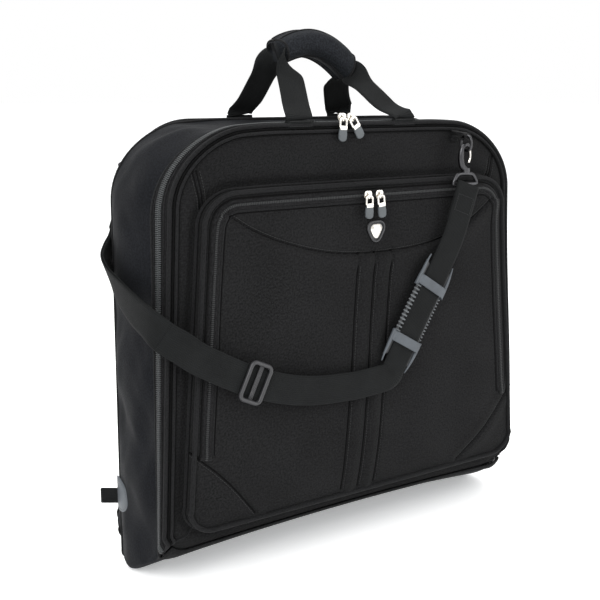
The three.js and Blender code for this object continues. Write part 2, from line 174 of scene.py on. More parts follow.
def moulded(name, colour, roughness, grain=260.0, relief=0.12, metallic=0.0):
    """Moulded rubber, plastic or plated metal with a fine surface grain and worn patches."""
    material, tree, shader = new_material(name)
    place = tree.nodes.new("ShaderNodeTexCoord").outputs["Object"]
    patches = noise_node(tree, place, 60.0)
    colours = colour_ramp(tree, patches, scaled(colour, 0.85), scaled(colour, 1.12))
    tree.links.new(colours, shader.inputs["Base Color"])
    shader.inputs["Roughness"].default_value = roughness
    shader.inputs["Metallic"].default_value = metallic
    link_bump(tree, shader, noise_node(tree, place, grain * 10, 2.0), relief, 0.1 * MM)
    return material


BLACK_CLOTH = cloth("black_cloth", (0.0088, 0.0089, 0.0092), pitch=1.2 * MM, relief=0.5)
GUSSET_CLOTH = cloth(
    "gusset_cloth", (0.0060, 0.0067, 0.0082), pitch=0.9 * MM, relief=0.3, sheen=0.02, roughness=0.74,
)
GRIP_CLOTH = cloth("grip_cloth", (0.0125, 0.0140, 0.0165))
LINING = cloth("lining", (0.035, 0.036, 0.04), pitch=0.8 * MM, relief=0.15, roughness=0.6)
PIPING = cloth("piping", (0.0075, 0.0076, 0.008), pitch=1.0 * MM, relief=0.3, sheen=0.03, basket=False)
TAPE = cloth("zipper_tape", (0.0085, 0.0085, 0.009), pitch=0.9 * MM, relief=0.4, sheen=0.03)
COIL = moulded("zipper_coil", (0.024, 0.027, 0.028), 0.42)
DARK_COIL = moulded("pocket_coil", (0.010, 0.011, 0.0115), 0.5)
WEBBING = webbing_material("webbing", (0.0072, 0.0078, 0.0080))
THREAD = moulded("thread", (0.0125, 0.0125, 0.013), 0.7)
SHADE = cloth("seam_shade", (0.0022, 0.0022, 0.0023), relief=0.1, sheen=0.0, basket=False)
NICKEL = moulded("nickel", (0.72, 0.69, 0.64), 0.2, relief=0.04, metallic=1.0)
DARK_METAL = moulded("dark_metal", (0.06, 0.06, 0.063), 0.34, relief=0.06, metallic=1.0)
BLACK_RUBBER = moulded("black_rubber", (0.025, 0.026, 0.028), 0.55)
GREY_RUBBER = moulded("grey_rubber", (0.046, 0.054, 0.063), 0.55)
# lighter grey rubber for the pad's ribs; part of that lightness is a painted highlight for their shine
PAD_RIB = moulded("pad_rib", (0.06, 0.066, 0.07), 0.4)
PULL_RUBBER = moulded("pull_rubber", (0.055, 0.063, 0.068), 0.5)
PLASTIC = moulded("black_plastic", (0.016, 0.016, 0.018), 0.38)


# ---------------------------------------------------------------- mesh helpers
def mesh_object(name, points, faces, material, uvs=None, smooth=True):
    mesh = bpy.data.meshes.new(name)
    mesh.from_pydata([tuple(p) for p in points], [], [tuple(f) for f in faces])
    mesh.materials.append(material)
    if uvs is not None:
        layer = mesh.uv_layers.new(name="UVMap")
        loops = np.zeros(len(mesh.loops), np.int32)
        mesh.loops.foreach_get("vertex_index", loops)
        layer.data.foreach_set("uv", np.asarray(uvs, np.float32)[loops].ravel())
    if smooth:
        mesh.polygons.foreach_set("use_smooth", [True] * len(mesh.polygons))
    mesh.validate()
    obj = bpy.data.objects.new(name, mesh)
    bpy.context.scene.collection.objects.link(obj)
    return obj


def grid_faces(rows, columns, close_rows=False, close_columns=False, flip=False):
    faces = []
    for i in range(rows if close_rows else rows - 1):
        for j in range(columns if close_columns else columns - 1):
            a = i * columns + j
            b = i * columns + (j + 1) % columns
            c = ((i + 1) % rows) * columns + (j + 1) % columns
            d = ((i + 1) % rows) * columns + j
            faces.append((a, d, c, b) if flip else (a, b, c, d))
    return faces


def arc_lengths(points):
    """Distance along axis 0 of an array of points."""
    steps = np.linalg.norm(np.diff(points, axis=0), axis=-1)
    return np.concatenate([np.zeros((1, *steps.shape[1:])), np.cumsum(steps, axis=0)])


def surface(name, grid, material, close_columns=False, flip=False):
    """A smooth surface over a grid of points, with UVs in metres along both ways."""
    rows, columns = grid.shape[:2]
    across = arc_lengths(grid)
    along = arc_lengths(np.swapaxes(grid, 0, 1)).T
    middle = along[rows // 2]
    uvs = np.stack([np.broadcast_to(middle, (rows, columns)), across], axis=-1).reshape(-1, 2)
    faces = grid_faces(rows, columns, close_columns=close_columns, flip=flip)
    return mesh_object(name, grid.reshape(-1, 3), faces, material, uvs)


def frames_along(path, closed):
    """Unit tangents of a path."""
    if closed:
        ahead = np.roll(path, -1, axis=0) - np.roll(path, 1, axis=0)
    else:
        ahead = np.gradient(path, axis=0)
    return ahead / np.linalg.norm(ahead, axis=1, keepdims=True)


def tube(name, path, radius, material, closed=False, sides=10, up=(0, -1, 0)):
    """A round cord along a path; up is any direction not along it."""
    path = np.asarray(path, float)
    tangent = frames_along(path, closed)
    side = np.cross(tangent, np.asarray(up, float))
    side /= np.linalg.norm(side, axis=1, keepdims=True)
    normal = np.cross(side, tangent)
    angles = np.linspace(0, 2 * math.pi, sides, endpoint=False)
    radius = np.broadcast_to(np.asarray(radius, float), (len(path),))
    ring = np.cos(angles)[None, :, None] * side[:, None] + np.sin(angles)[None, :, None] * normal[:, None]
    points = (path[:, None] + ring * radius[:, None, None]).reshape(-1, 3)
    faces = grid_faces(len(path), sides, close_rows=closed, close_columns=True)
    if not closed:
        faces.append(tuple(range(sides)))
        faces.append(tuple(reversed(range((len(path) - 1) * sides, len(path) * sides))))
    lengths = arc_lengths(path)
    uvs = np.stack([np.tile(angles * radius[0], len(path)), np.repeat(lengths, sides)], axis=-1)
    return mesh_object(name, points, faces, material, uvs)


def smooth_path(points, count, closed=False):
    """Catmull-Rom through the points, spaced evenly."""
    p = np.asarray(points, float)
    if closed:
        ext = np.vstack([p[-1], p, p[0], p[1]])
        spans = len(p)
    else:
        ext = np.vstack([2 * p[0] - p[1], p, 2 * p[-1] - p[-2]])
        spans = len(p) - 1
    t = np.linspace(0, 1, 24, endpoint=False)[:, None]
    fine = []
    for i in range(spans):
        a, b, c, d = ext[i:i + 4]
        square = 2 * a - 5 * b + 4 * c - d
        cube = 3 * b - a - 3 * c + d
        fine.append(0.5 * (2 * b + (c - a) * t + square * t**2 + cube * t**3))
    fine = np.vstack([*fine, ext[-2][None]])
    lengths = arc_lengths(fine)
    wanted = np.linspace(0, lengths[-1], count + (1 if closed else 0))
    even = np.stack([np.interp(wanted, lengths, fine[:, k]) for k in range(fine.shape[1])], axis=-1)
    return even[:-1] if closed else even


def ribbon(name, centre, across, width, thickness, material):
    """Flat webbing with rounded edges along a centre line; across is the width direction at each point."""
    centre = np.asarray(centre, float)
    across = np.asarray(across, float)
    across = across / np.linalg.norm(across, axis=1, keepdims=True)
    tangent = frames_along(centre, False)
    normal = np.cross(tangent, across)
    normal /= np.linalg.norm(normal, axis=1, keepdims=True)
    half, thin = width / 2, thickness / 2
    steps = 13
    top = [(half * (1 - 2 * i / (steps - 1)), thin * (1 if 0 < i < steps - 1 else 0.35)) for i in range(steps)]
    section = np.array(top + [(-u, -v) for u, v in top])
    points = centre[:, None] + section[None, :, :1] * across[:, None] + section[None, :, 1:] * normal[:, None]
    count = len(section)
    faces = grid_faces(len(centre), count, close_columns=True)
    faces.append(tuple(reversed(range(count))))
    faces.append(tuple(range((len(centre) - 1) * count, len(centre) * count)))
    lengths = arc_lengths(centre)
    uvs = np.stack([np.tile(section[:, 0], len(centre)), np.repeat(lengths, count)], axis=-1)
    return mesh_object(name, points.reshape(-1, 3), faces, material, uvs)


def thicken(obj, thickness, inward=False):
    """Gives a sheet its thickness, about its middle or all behind its face."""
    solid = obj.modifiers.new("thickness", "SOLIDIFY")
    solid.thickness = thickness
    if inward:
        solid.offset = -1


def apply_thickness(obj):
    bpy.context.view_layer.objects.active = obj
    bpy.ops.object.modifier_apply(modifier="thickness")


def vertex_points(mesh):
    points = np.zeros(len(mesh.vertices) * 3)
    mesh.vertices.foreach_get("co", points)
    return points.reshape(-1, 3)


def set_vertex_points(mesh, points):
    mesh.vertices.foreach_set("co", points.ravel())
    mesh.update()


def unit_rows(vectors):
    return vectors / np.linalg.norm(vectors, axis=-1, keepdims=True)


def copies(name, shape_points, shape_faces, places, material, smooth=False):
    """One mesh of many small copies. places is a list of 4x4 matrices."""
    base = np.asarray(shape_points, float)
    points = []
    faces = []
    for place in places:
        offset = len(points)
        m = np.asarray(place, float)
        points.extend(base @ m[:3, :3].T + m[:3, 3])
        faces.extend([tuple(i + offset for i in f) for f in shape_faces])
    return mesh_object(name, points, faces, material, smooth=smooth)


def place_matrix(origin, x_axis, y_axis):
    x_axis = x_axis / np.linalg.norm(x_axis)
    z_axis = np.cross(x_axis, y_axis)
    z_axis /= np.linalg.norm(z_axis)
    m = np.eye(4)
    m[:3, 0] = x_axis
    m[:3, 1] = np.cross(z_axis, x_axis)
    m[:3, 2] = z_axis
    m[:3, 3] = origin
    return m


def bead(length, width, height):
    """A low rounded bar, one stitch or one zipper tooth, along its X."""
    points = []
    for x, s in ((-0.5, 0.45), (-0.25, 1.0), (0.25, 1.0), (0.5, 0.45)):
        for a in range(6):
            angle = a * math.pi / 3
            points.append((x * length, math.cos(angle) * width / 2 * s, math.sin(angle) * height / 2 * s))
    faces = grid_faces(4, 6, close_columns=True)
    faces.append(tuple(reversed(range(6))))
    faces.append(tuple(range(18, 24)))
    return points, faces


def run_of(name, path, normal, spacing, shape, material, closed=False, turned=False):
    """Copies of a small shape along a path: stitches, or zipper teeth when turned across it."""
    path = np.asarray(path, float)
    ring = np.vstack([path, path[:1]]) if closed else path
    lengths = arc_lengths(ring)
    count = max(2, int(lengths[-1] / spacing))
    wanted = (np.arange(count) + 0.5) * lengths[-1] / count
    spots = np.stack([np.interp(wanted, lengths, ring[:, k]) for k in range(3)], axis=-1)
    normals = np.asarray(normal, float)
    if normals.ndim == 2:
        ring_normals = np.vstack([normals, normals[:1]]) if closed else normals
        normals = np.stack([np.interp(wanted, lengths, ring_normals[:, k]) for k in range(3)], axis=-1)
    else:
        normals = np.broadcast_to(normals, spots.shape)
    tangent = frames_along(spots, closed)
    places = []
    for spot, along, up in zip(spots, tangent, normals):
        across = np.cross(up, along)
        places.append(place_matrix(spot, across if turned else along, along if turned else across))
    return copies(name, *shape, places, material, smooth=True)


SIDE_BULGE = 9 * MM
SHOULDER_SAG = 7 * MM
CORNER_LIFT = 9 * MM


def ramp(value, start, end):
    """0 before start, 1 after end, smooth between."""
    t = np.clip((value - start) / (end - start), 0, 1)
    return t * t * (3 - 2 * t)


def settle(obj):
    """The soft bag's slack: its right side bulges, its shoulders sag and its lower right corner lifts."""
    points = vertex_points(obj.data)
    x, y, z = points.T.copy()
    bulge = ramp(x, 150 * MM, 290 * MM) * ramp(z, 30 * MM, 85 * MM) * (1 - ramp(z, 150 * MM, 430 * MM))
    bulge *= 1 - ramp(y, -10 * MM, 50 * MM)
    shoulders = ramp(np.abs(x), 120 * MM, 260 * MM) * ramp(z, 440 * MM, 560 * MM)
    corner = ramp(x, 225 * MM, 295 * MM) * (1 - ramp(z, 55 * MM, 130 * MM)) * (1 - ramp(y, -60 * MM, -40 * MM))
    points[:, 0] += SIDE_BULGE * bulge
    points[:, 2] -= SHOULDER_SAG * shoulders
    points[:, 2] += CORNER_LIFT * corner
    set_vertex_points(obj.data, points)


PANEL_STITCH = (3.6 * MM, bead(2.7 * MM, 0.6 * MM, 0.55 * MM))
PATCH_STITCH = (3.2 * MM, bead(2.3 * MM, 0.5 * MM, 0.5 * MM))
WEBBING_STITCH = (3 * MM, bead(2.2 * MM, 0.6 * MM, 0.6 * MM))


def stitch_row(name, path, normal, stitch, body, slot, closed=False):
    """A row of stitches along a path. stitch is their spacing and the shape of one."""
    ride(run_of(name, path, normal, *stitch, THREAD, closed=closed), body, slot)


def cord(name, path, radius, body, material=PIPING, slot="piping", closed=False):
    """A round cord that rides a body; with the seam shade material it is a line of painted shade along a seam.
    """
    ride(tube(name, path, radius, material, closed=closed), body, slot)


def ride(obj, body, slot, *replaced):
    if body in ("lid", "case"):
        settle(obj)
    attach(obj, body)
    if replaced:
        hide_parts(*replaced)
    return obj


# ---------------------------------------------------------------- sizes taken from the frame
def low(node):
    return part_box(node)[0]


def high(node):
    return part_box(node)[1]


def middle_of(node):
    return np.array((low(node) + high(node)) / 2)


LID_FRONT = low("lid_panel").y
LID_BOTTOM = low("lid_panel").z
LID_TOP = high("lid_panel").z
POCKET_FRONT = low("pocket_panel").y
CASE_REAR = high("case_back_panel").y
REAR_FACE = high("rear_shell").y
BODY_TOP = high("case_gusset").z
CASE_HALF = high("case_gusset").x  # half width at the bottom
TAPER = 24 * MM  # how much narrower each side is at the top
STRAP_WIDTH = 38 * MM
SEAM_Y = -46 * MM  # the gusset's front seam


# ---------------------------------------------------------------- outlines
def outline(half_bottom, half_top, z_bottom, z_top, top_radius, bottom_radius, middle=0.0, arch=0.0):
    """A closed tapered outline in X and Z, anticlockwise from the bottom middle.
    arch lifts the middle of the bottom edge."""
    def half_at(z):
        return half_bottom + (half_top - half_bottom) * (z - z_bottom) / (z_top - z_bottom)

    right = []
    for t in np.linspace(0, 1, 26)[:-1]:
        right.append((t * (half_bottom - bottom_radius), z_bottom))
    corner = (half_bottom - bottom_radius, z_bottom + bottom_radius)
    for a in np.linspace(-math.pi / 2, 0, 9)[:-1]:
        right.append((corner[0] + bottom_radius * math.cos(a), corner[1] + bottom_radius * math.sin(a)))
    for t in np.linspace(0, 1, 56)[:-1]:
        z = z_bottom + bottom_radius + t * (z_top - top_radius - z_bottom - bottom_radius)
        right.append((half_at(z), z))
    shoulder = half_at(z_top - top_radius)
    reach = shoulder - (half_top - top_radius)
    for a in np.linspace(0, math.pi / 2, 19)[:-1]:
        right.append((shoulder - reach + reach * math.cos(a), z_top - top_radius + top_radius * math.sin(a)))
    for t in np.linspace(1, 0, 26):
        right.append((t * (half_top - top_radius), z_top))
    right = np.array(right)
    left = right[1:-1][::-1] * np.array([-1, 1])
    loop = np.vstack([right, left])
    share = np.clip(1 - (loop[:, 0] / half_bottom) ** 2, 0, 1)
    low_weight = np.clip(1 - (loop[:, 1] - z_bottom) / (60 * MM), 0, 1) ** 2
    loop[:, 1] += arch * share * low_weight
    loop[:, 0] += middle
    return loop


def loop_normals(loop):
    """Outward unit normals of an anticlockwise loop in X and Z."""
    ahead = np.roll(loop, -1, axis=0) - np.roll(loop, 1, axis=0)
    return unit_rows(np.stack([ahead[:, 1], -ahead[:, 0]], axis=-1))


def inset(loop, distance):
    return loop - loop_normals(loop) * distance


def at_depth(loop, y):
    return np.stack([loop[:, 0], np.broadcast_to(y, (len(loop),)), loop[:, 1]], axis=-1)


def distance_to(points, path):
    """Shortest distance from each point (n, 2) to a polyline (m, 2)."""
    best = np.full(len(points), 1e9)
    for a, b in zip(path[:-1], path[1:]):
        ab = b - a
        t = np.clip(((points - a) @ ab) / max(ab @ ab, 1e-12), 0, 1)
        gap = np.linalg.norm(points - a - t[:, None] * ab, axis=1)
        best = np.minimum(best, gap)
    return best


def closed(loop):
    return np.vstack([loop, loop[:1]])


def soft_noise(x, z, scale, seed):
    """Smooth repeatable waves over a surface, about -1 to 1."""
    rng = np.random.default_rng(seed)
    total = np.zeros_like(x)
    for _ in range(7):
        angle = rng.uniform(0, 2 * math.pi)
        k = rng.uniform(0.6, 1.6) * 2 * math.pi / scale
        total += np.sin(k * (x * math.cos(angle) + z * math.sin(angle)) + rng.uniform(0, 2 * math.pi))
    return total / 3.5


LID_HALF = CASE_HALF - 8 * MM
LID_CORNER = 32 * MM  # radius of the lid's lower corners
LID_SHOULDER = 94 * MM  # radius of the lid's upper corners
LID_ARCH = 6 * MM  # how far the lid's bottom edge rises in its middle
LID_BASE = LID_FRONT + 4 * MM  # the lid's padding stands forward of this depth
LID_LOOP = outline(
    LID_HALF, LID_HALF - TAPER, LID_BOTTOM - 2 * MM, LID_TOP, LID_SHOULDER, LID_CORNER, arch=LID_ARCH,
)
POCKET_X = (low("pocket_panel").x + high("pocket_panel").x) / 2
POCKET_HALF = (high("pocket_panel").x - low("pocket_panel").x) / 2
POCKET_LOOP = outline(
    POCKET_HALF, POCKET_HALF - 30 * MM, low("pocket_panel").z, high("pocket_panel").z, 40 * MM, 30 * MM,
    middle=POCKET_X,
)


# ---------------------------------------------------------------- case: gusset and rear panel
def gusset_slice(y):
    """Outline of the case at one depth: it swells between its two seams and its bottom comes to a soft keel."""
    t = (y - SEAM_Y) / (CASE_REAR - SEAM_Y)
    swell = 4 * t * (1 - t)
    half = CASE_HALF - 8 * MM + 11 * MM * swell + 3 * MM * t
    top = BODY_TOP - 9 * MM + 6 * MM * swell + 5 * MM * t
    keel = 20 * MM
    if y < keel:
        bottom = 52 * MM * ((keel - y) / (keel + 66 * MM)) ** 1.25
    else:
        bottom = 0.0
    return outline(half, half - 5 * MM, bottom, top, 104 * MM - 8 * MM * t, 9 * MM, arch=12 * MM)


def puff(obj, rows, pinned, pressure, growth, cap, frames=18):
    """Lets a sheet of cloth with held edges swell and wrinkle, then keeps the result as its mesh."""
    before = vertex_points(obj.data)
    group = obj.vertex_groups.new(name="pin")
    group.add(pinned, 1.0, "REPLACE")
    cloth_modifier = obj.modifiers.new("cloth", "CLOTH")
    settings = cloth_modifier.settings
    settings.vertex_group_mass = "pin"
    settings.quality = 6
    settings.mass = 0.25
    settings.tension_stiffness = 25
    settings.compression_stiffness = 25
    settings.shear_stiffness = 12
    settings.bending_stiffness = 3
    settings.shrink_min = -growth
    settings.use_pressure = True
    settings.uniform_pressure_force = pressure
    settings.effector_weights.gravity = 0.25
    cloth_modifier.collision_settings.use_collision = False
    scene = bpy.context.scene
    for frame_number in range(1, frames + 1):
        scene.frame_set(frame_number)
    after = vertex_points(obj.evaluated_get(bpy.context.evaluated_depsgraph_get()).to_mesh())
    obj.modifiers.remove(cloth_modifier)
    obj.vertex_groups.clear()
    move = (after - before).reshape(rows, -1, 3)
    for _ in range(10):  # soft cloth keeps only its broader folds
        beside = (np.roll(move, 1, axis=1) + np.roll(move, -1, axis=1)) / 2
        move[1:-1] = 0.4 * move[1:-1] + 0.3 * beside[1:-1] + 0.15 * (move[:-2] + move[2:])
    move = move.reshape(-1, 3)
    size = np.linalg.norm(move, axis=1, keepdims=True)
    move *= cap * np.tanh(size / cap) / np.maximum(size, 1e-9)
    set_vertex_points(obj.data, before + move)
    scene.frame_set(1)


def build_gusset():
    depths = np.linspace(SEAM_Y, CASE_REAR, 34)
    grid = np.stack([at_depth(gusset_slice(y), y) for y in depths])
    t = (depths - depths[0]) / (depths[-1] - depths[0])
    hold = (np.sin(math.pi * t) ** 0.6)[:, None]
    length = arc_lengths(np.swapaxes(grid, 0, 1)).T
    wrinkle = soft_noise(length, grid[..., 1] * 2.2, 130 * MM, 3) * 2.0 * MM
    wrinkle += soft_noise(length, grid[..., 1] * 1.2, 50 * MM, 5) * 0.8 * MM
    normals = np.stack([loop_normals(g[:, [0, 2]]) for g in grid])
    grid[..., 0] += normals[..., 0] * wrinkle * hold
    grid[..., 2] += normals[..., 1] * wrinkle * hold * (grid[..., 2] > 60 * MM)
    gusset = surface("gusset_cloth", grid, GUSSET_CLOTH, close_columns=True, flip=True)
    rows, columns = grid.shape[:2]
    seams = list(range(columns)) + list(range((rows - 1) * columns, rows * columns))
    low_down = [i for i, p in enumerate(grid.reshape(-1, 3)) if p[2] < 30 * MM]
    puff(gusset, rows, seams + low_down, pressure=2.2, growth=0.03, cap=9 * MM)
    ride(gusset, "case", "gusset_cloth", "case_gusset", "fold_spine")
    rear = gusset_slice(CASE_REAR)
    cord("gusset_rear_piping", at_depth(rear, CASE_REAR - 1 * MM), 2.2 * MM, "case", closed=True)


def filled(loop, rings):
    """Rings of points (x, z) that shrink from an outline to its middle line."""
    low_z, high_z = loop[:, 1].min(), loop[:, 1].max()
    tall = high_z - low_z
    middle_z = np.clip(loop[:, 1], low_z + 0.45 * tall, low_z + 0.55 * tall)
    middle = np.stack([np.zeros(len(loop)), middle_z], axis=-1)
    shares = np.linspace(0, 1, rings)[:, None, None]
    return loop + (middle - loop) * shares


def panel_grid(loop_at, rows, columns, z_bottom, z_top, top_radius):
    """Points (x, z) over an outline: rows follow Z and crowd towards the top, each row spans the outline."""
    s = np.linspace(0, 1, rows)
    zs = z_bottom + (z_top - z_bottom) * s
    near_top = zs > z_top - top_radius
    count = int(near_top.sum())
    angles = np.linspace(0, math.pi / 2, count + 1)[1:]
    zs[near_top] = z_top - top_radius + top_radius * np.sin(angles)
    u = np.linspace(-1, 1, columns)
    half = loop_at(zs)
    x = half[:, None] * u[None, :]
    return x, np.broadcast_to(zs[:, None], x.shape).copy()


def half_width_fn(half_bottom, half_top, z_bottom, z_top, top_radius, bottom_radius):
    """Gives the function that tells an outline's half width at a height."""
    def half(z):
        width = half_bottom + (half_top - half_bottom) * (z - z_bottom) / (z_top - z_bottom)
        shoulder = half_bottom + (half_top - half_bottom) * (1 - top_radius / (z_top - z_bottom))
        reach = shoulder - (half_top - top_radius)
        rise = np.clip((z - (z_top - top_radius)) / top_radius, 0, 1)
        top = shoulder - reach + reach * np.sqrt(1 - rise**2)
        dip = np.clip(1 - (z - z_bottom) / bottom_radius, 0, 1)
        lower = half_bottom - bottom_radius + bottom_radius * np.sqrt(1 - dip**2)
        return np.where(rise > 0, top, np.minimum(width, lower))
    return half


def build_case_rear():
    bottom, top, radius = 1 * MM, BODY_TOP - 4.5 * MM, 96 * MM
    half = half_width_fn(CASE_HALF - 5 * MM, CASE_HALF - 10 * MM, bottom, top, radius, 9 * MM)
    x, z = panel_grid(half, 60, 60, bottom, top, radius)
    y = np.full_like(x, CASE_REAR - 1 * MM) + soft_noise(x, z, 160 * MM, 11) * 0.6 * MM
    panel = surface("case_rear_lining", np.stack([x, y, z], axis=-1), LINING)
    thicken(panel, 1.2 * MM)
    ride(panel, "case", "lining", "case_back_panel")


# ---------------------------------------------------------------- lid: padded panel, piping, zipper
RUN_START = 9 * MM  # the zipper's run starts this far above the lid's bottom edge
BORDER_SEAM_GAP = 5  # millimetres between the two rows of the border seam


def border_seam(side):
    """The curved double seam that runs from the lid's top corner down to the pocket."""
    x0 = side * (CASE_HALF - 51 * MM)
    points = [(x0 - side * shift * MM, z * MM) for shift, z in ((10, 517), (14, 497), (19, 472), (22, 440))]
    return smooth_path(points, 24)


def lid_height(x, z):
    """How far the lid stands forward of its back plane at a point: padded crown with sewn seams."""
    points = np.stack([x.ravel(), z.ravel()], axis=-1)
    edge = distance_to(points, closed(LID_LOOP))
    crown = 5.5 * MM * (1 - np.exp(-edge / (13 * MM)))
    crown += 1.2 * MM * soft_noise(points[:, 0], points[:, 1], 150 * MM, 21) * np.clip(edge / (20 * MM), 0, 1)
    for side in (-1, 1):
        seam = border_seam(side)
        for shift in (0.0, BORDER_SEAM_GAP * MM):
            away = distance_to(points, seam + np.array([side * shift, 0]))
            crown -= 2.4 * MM * np.exp(-(away / (2.4 * MM)) ** 2)
    around = distance_to(points, closed(inset(POCKET_LOOP, -7 * MM)))
    crown -= 3 * MM * np.exp(-(around / (6 * MM)) ** 2)
    return crown.reshape(x.shape)


def on_lid(path, lift=0.0):
    """Points of a path (x, z) laid on the lid's face."""
    y = LID_BASE - lid_height(path[:, 0], path[:, 1]) - lift
    return np.stack([path[:, 0], y, path[:, 1]], axis=-1)


def build_lid_panel():
    bottom, top = LID_LOOP[:, 1].min(), LID_LOOP[:, 1].max()
    half = half_width_fn(LID_HALF, LID_HALF - TAPER, bottom, top, LID_SHOULDER, LID_CORNER)
    x, z = panel_grid(half, 300, 300, bottom, top, LID_SHOULDER)
    arch = LID_ARCH * np.clip(1 - (x / LID_HALF) ** 2, 0, 1)
    z = z + arch * np.clip(1 - (z - bottom) / (60 * MM), 0, 1) ** 2
    front = np.stack([x, LID_BASE - lid_height(x, z), z], axis=-1)
    panel = surface("lid_front_cloth", front, BLACK_CLOTH)
    thicken(panel, 3 * MM, inward=True)
    ride(panel, "lid", "black_cloth", "lid_panel")


def upper_run(points):
    """The stretch of a closed loop from one lower corner over the top to the other."""
    keep = np.nonzero(LID_LOOP[:, 1] > LID_LOOP[:, 1].min() + RUN_START)[0]
    return points[keep[0]:keep[-1] + 1]


def lower_run(points):
    """The rest of the same loop, overlapping a little: the bottom edge, left to right."""
    turned = np.roll(points, len(points) // 2, axis=0)
    height = np.roll(LID_LOOP[:, 1], len(points) // 2)
    keep = np.nonzero(height <= LID_LOOP[:, 1].min() + RUN_START + 4 * MM)[0]
    return turned[keep[0]:keep[-1] + 1]


def tucked(path, depth, drop):
    """A run with its two ends led back under the bag."""
    ends = []
    for end in (path[0], path[-1]):
        side = math.copysign(1, end[0])
        ends.append([end + np.array([side * MM * k, depth * k, -drop * k]) for k in (0.4, 0.75, 1.0)])
    return np.vstack([ends[0][::-1], path, ends[1]])


def build_lid_edge():
    for side, name in SIDES:
        for k in (0, 1):
            seam = border_seam(side) + np.array([side * k * BORDER_SEAM_GAP * MM, 0])
            # a dark cord of painted shade in the groove of each row of the border seam
            cord(f"lid_border_shade_{name}_{k}", on_lid(seam, 0.2 * MM), 0.9 * MM, "lid", SHADE)
    y = LID_FRONT + 2 * MM
    outer = tucked(upper_run(at_depth(inset(LID_LOOP, -1.5 * MM), y)), 16 * MM, 16 * MM)
    ride(tube("lid_piping_outer", smooth_path(outer, 420), 2.6 * MM, PIPING), "lid", "piping", "lid_piping")
    second = tucked(upper_run(at_depth(inset(LID_LOOP, 6.4 * MM), y - 3.4 * MM)), 15 * MM, 12 * MM)
    cord("lid_piping_inner", smooth_path(second, 420), 1.9 * MM, "lid")
    # dark cords of painted shade in the seams that run inside the piping
    for name, distance, depth in (("outer", 2.6, -2.6), ("inner", 9.2, -2.4)):
        line = upper_run(at_depth(inset(LID_LOOP, distance * MM), y + depth * MM))
        cord(f"lid_seam_shade_{name}", line, 0.9 * MM, "lid", SHADE)


def zipper_band(share):
    """The sloping zipper strip: 0 at the lid's piping, 1 at the gusset's seam."""
    front = at_depth(inset(LID_LOOP, -2.5 * MM), LID_BASE)
    rear = at_depth(gusset_slice(SEAM_Y), SEAM_Y)
    lift = loop_normals(LID_LOOP)
    band = front + (rear - front) * share
    bow = 2 * MM * math.sin(math.pi * share)
    band[:, 0] += lift[:, 0] * bow
    band[:, 2] += lift[:, 1] * bow
    return band


def build_main_zipper():
    lid_side = np.stack([upper_run(zipper_band(s)) for s in (0.0, 0.15, 0.3, 0.47)])
    case_side = np.stack([upper_run(zipper_band(s)) for s in (0.51, 0.68, 0.84, 1.0)])
    ride(surface("lid_zipper_cloth", lid_side, TAPE, flip=True), "lid", "zipper_tape", "lid_zipper_tape")
    ride(surface("case_zipper_cloth", case_side, TAPE, flip=True), "case", "zipper_tape", "case_zipper_tape")
    for body, share in (("lid", 0.42), ("case", 0.57)):
        band = upper_run(zipper_band(share))
        slope = upper_run(zipper_band(share + 0.02)) - upper_run(zipper_band(share - 0.02))
        normal = unit_rows(np.cross(frames_along(band, False), unit_rows(slope)))
        outward = upper_run(at_depth(loop_normals(LID_LOOP), 0.0))
        normal *= np.sign((normal * outward).sum(axis=1, keepdims=True))
        tooth = bead(5.0 * MM, 1.9 * MM, 1.9 * MM)
        teeth = run_of(f"{body}_coil", band + normal * 0.8 * MM, normal, 2.5 * MM, tooth, COIL, turned=True)
        ride(teeth, body, "zipper_tape")
    seam = upper_run(zipper_band(1.0))
    cord("gusset_front_piping", tucked(seam, 14 * MM, 10 * MM), 1.7 * MM, "case")
    for body, share in (("lid", 0.2), ("case", 0.8)):
        cord(f"zipper_fold_{body}", upper_run(zipper_band(share)), 1.1 * MM, body, TAPE, "zipper_tape")


def build_lid_under():
    """The lid's cloth carried on under the bag to the fold."""
    rows = [lower_run(zipper_band(s)) for s in np.linspace(0, 1, 9)]
    rows[0] = lower_run(at_depth(inset(LID_LOOP, 0.5 * MM), LID_FRONT + 3 * MM))
    under = surface("lid_under_cloth", np.stack(rows), BLACK_CLOTH)
    thicken(under, 1.6 * MM)
    apply_thickness(under)
    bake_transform(under)


# ---------------------------------------------------------------- pocket
def pocket_xz(points):
    """Points given in millimetres from the pocket's middle line and the ground."""
    return np.array([(POCKET_X + x * MM, z * MM) for x, z in points])


ARC_POINTS = [
    (-208, 462), (-175, 441), (-130, 422), (-72, 406), (-10, 399), (60, 400), (118, 408), (172, 430),
    (214, 456),
]
ARC_SEAM = smooth_path(pocket_xz(ARC_POINTS), 60)
RIB_TOPS = (-19, 8, 35)
RIB_SEAMS = [smooth_path(pocket_xz([(x, 400), (x - 9, 240), (x - 20, 84)]), 20) for x in RIB_TOPS]
PATCH_SEAMS = [
    smooth_path(pocket_xz([(-262, 182), (-216, 138), (-172, 84)]), 16),
    smooth_path(pocket_xz([(262, 178), (214, 128), (166, 84)]), 16),
]
PATCH_TOP = 168 * MM  # the pocket's zipper starts above its corner patches
POCKET_RIM = POCKET_FRONT + 7 * MM  # depth of the edge of the pocket's face


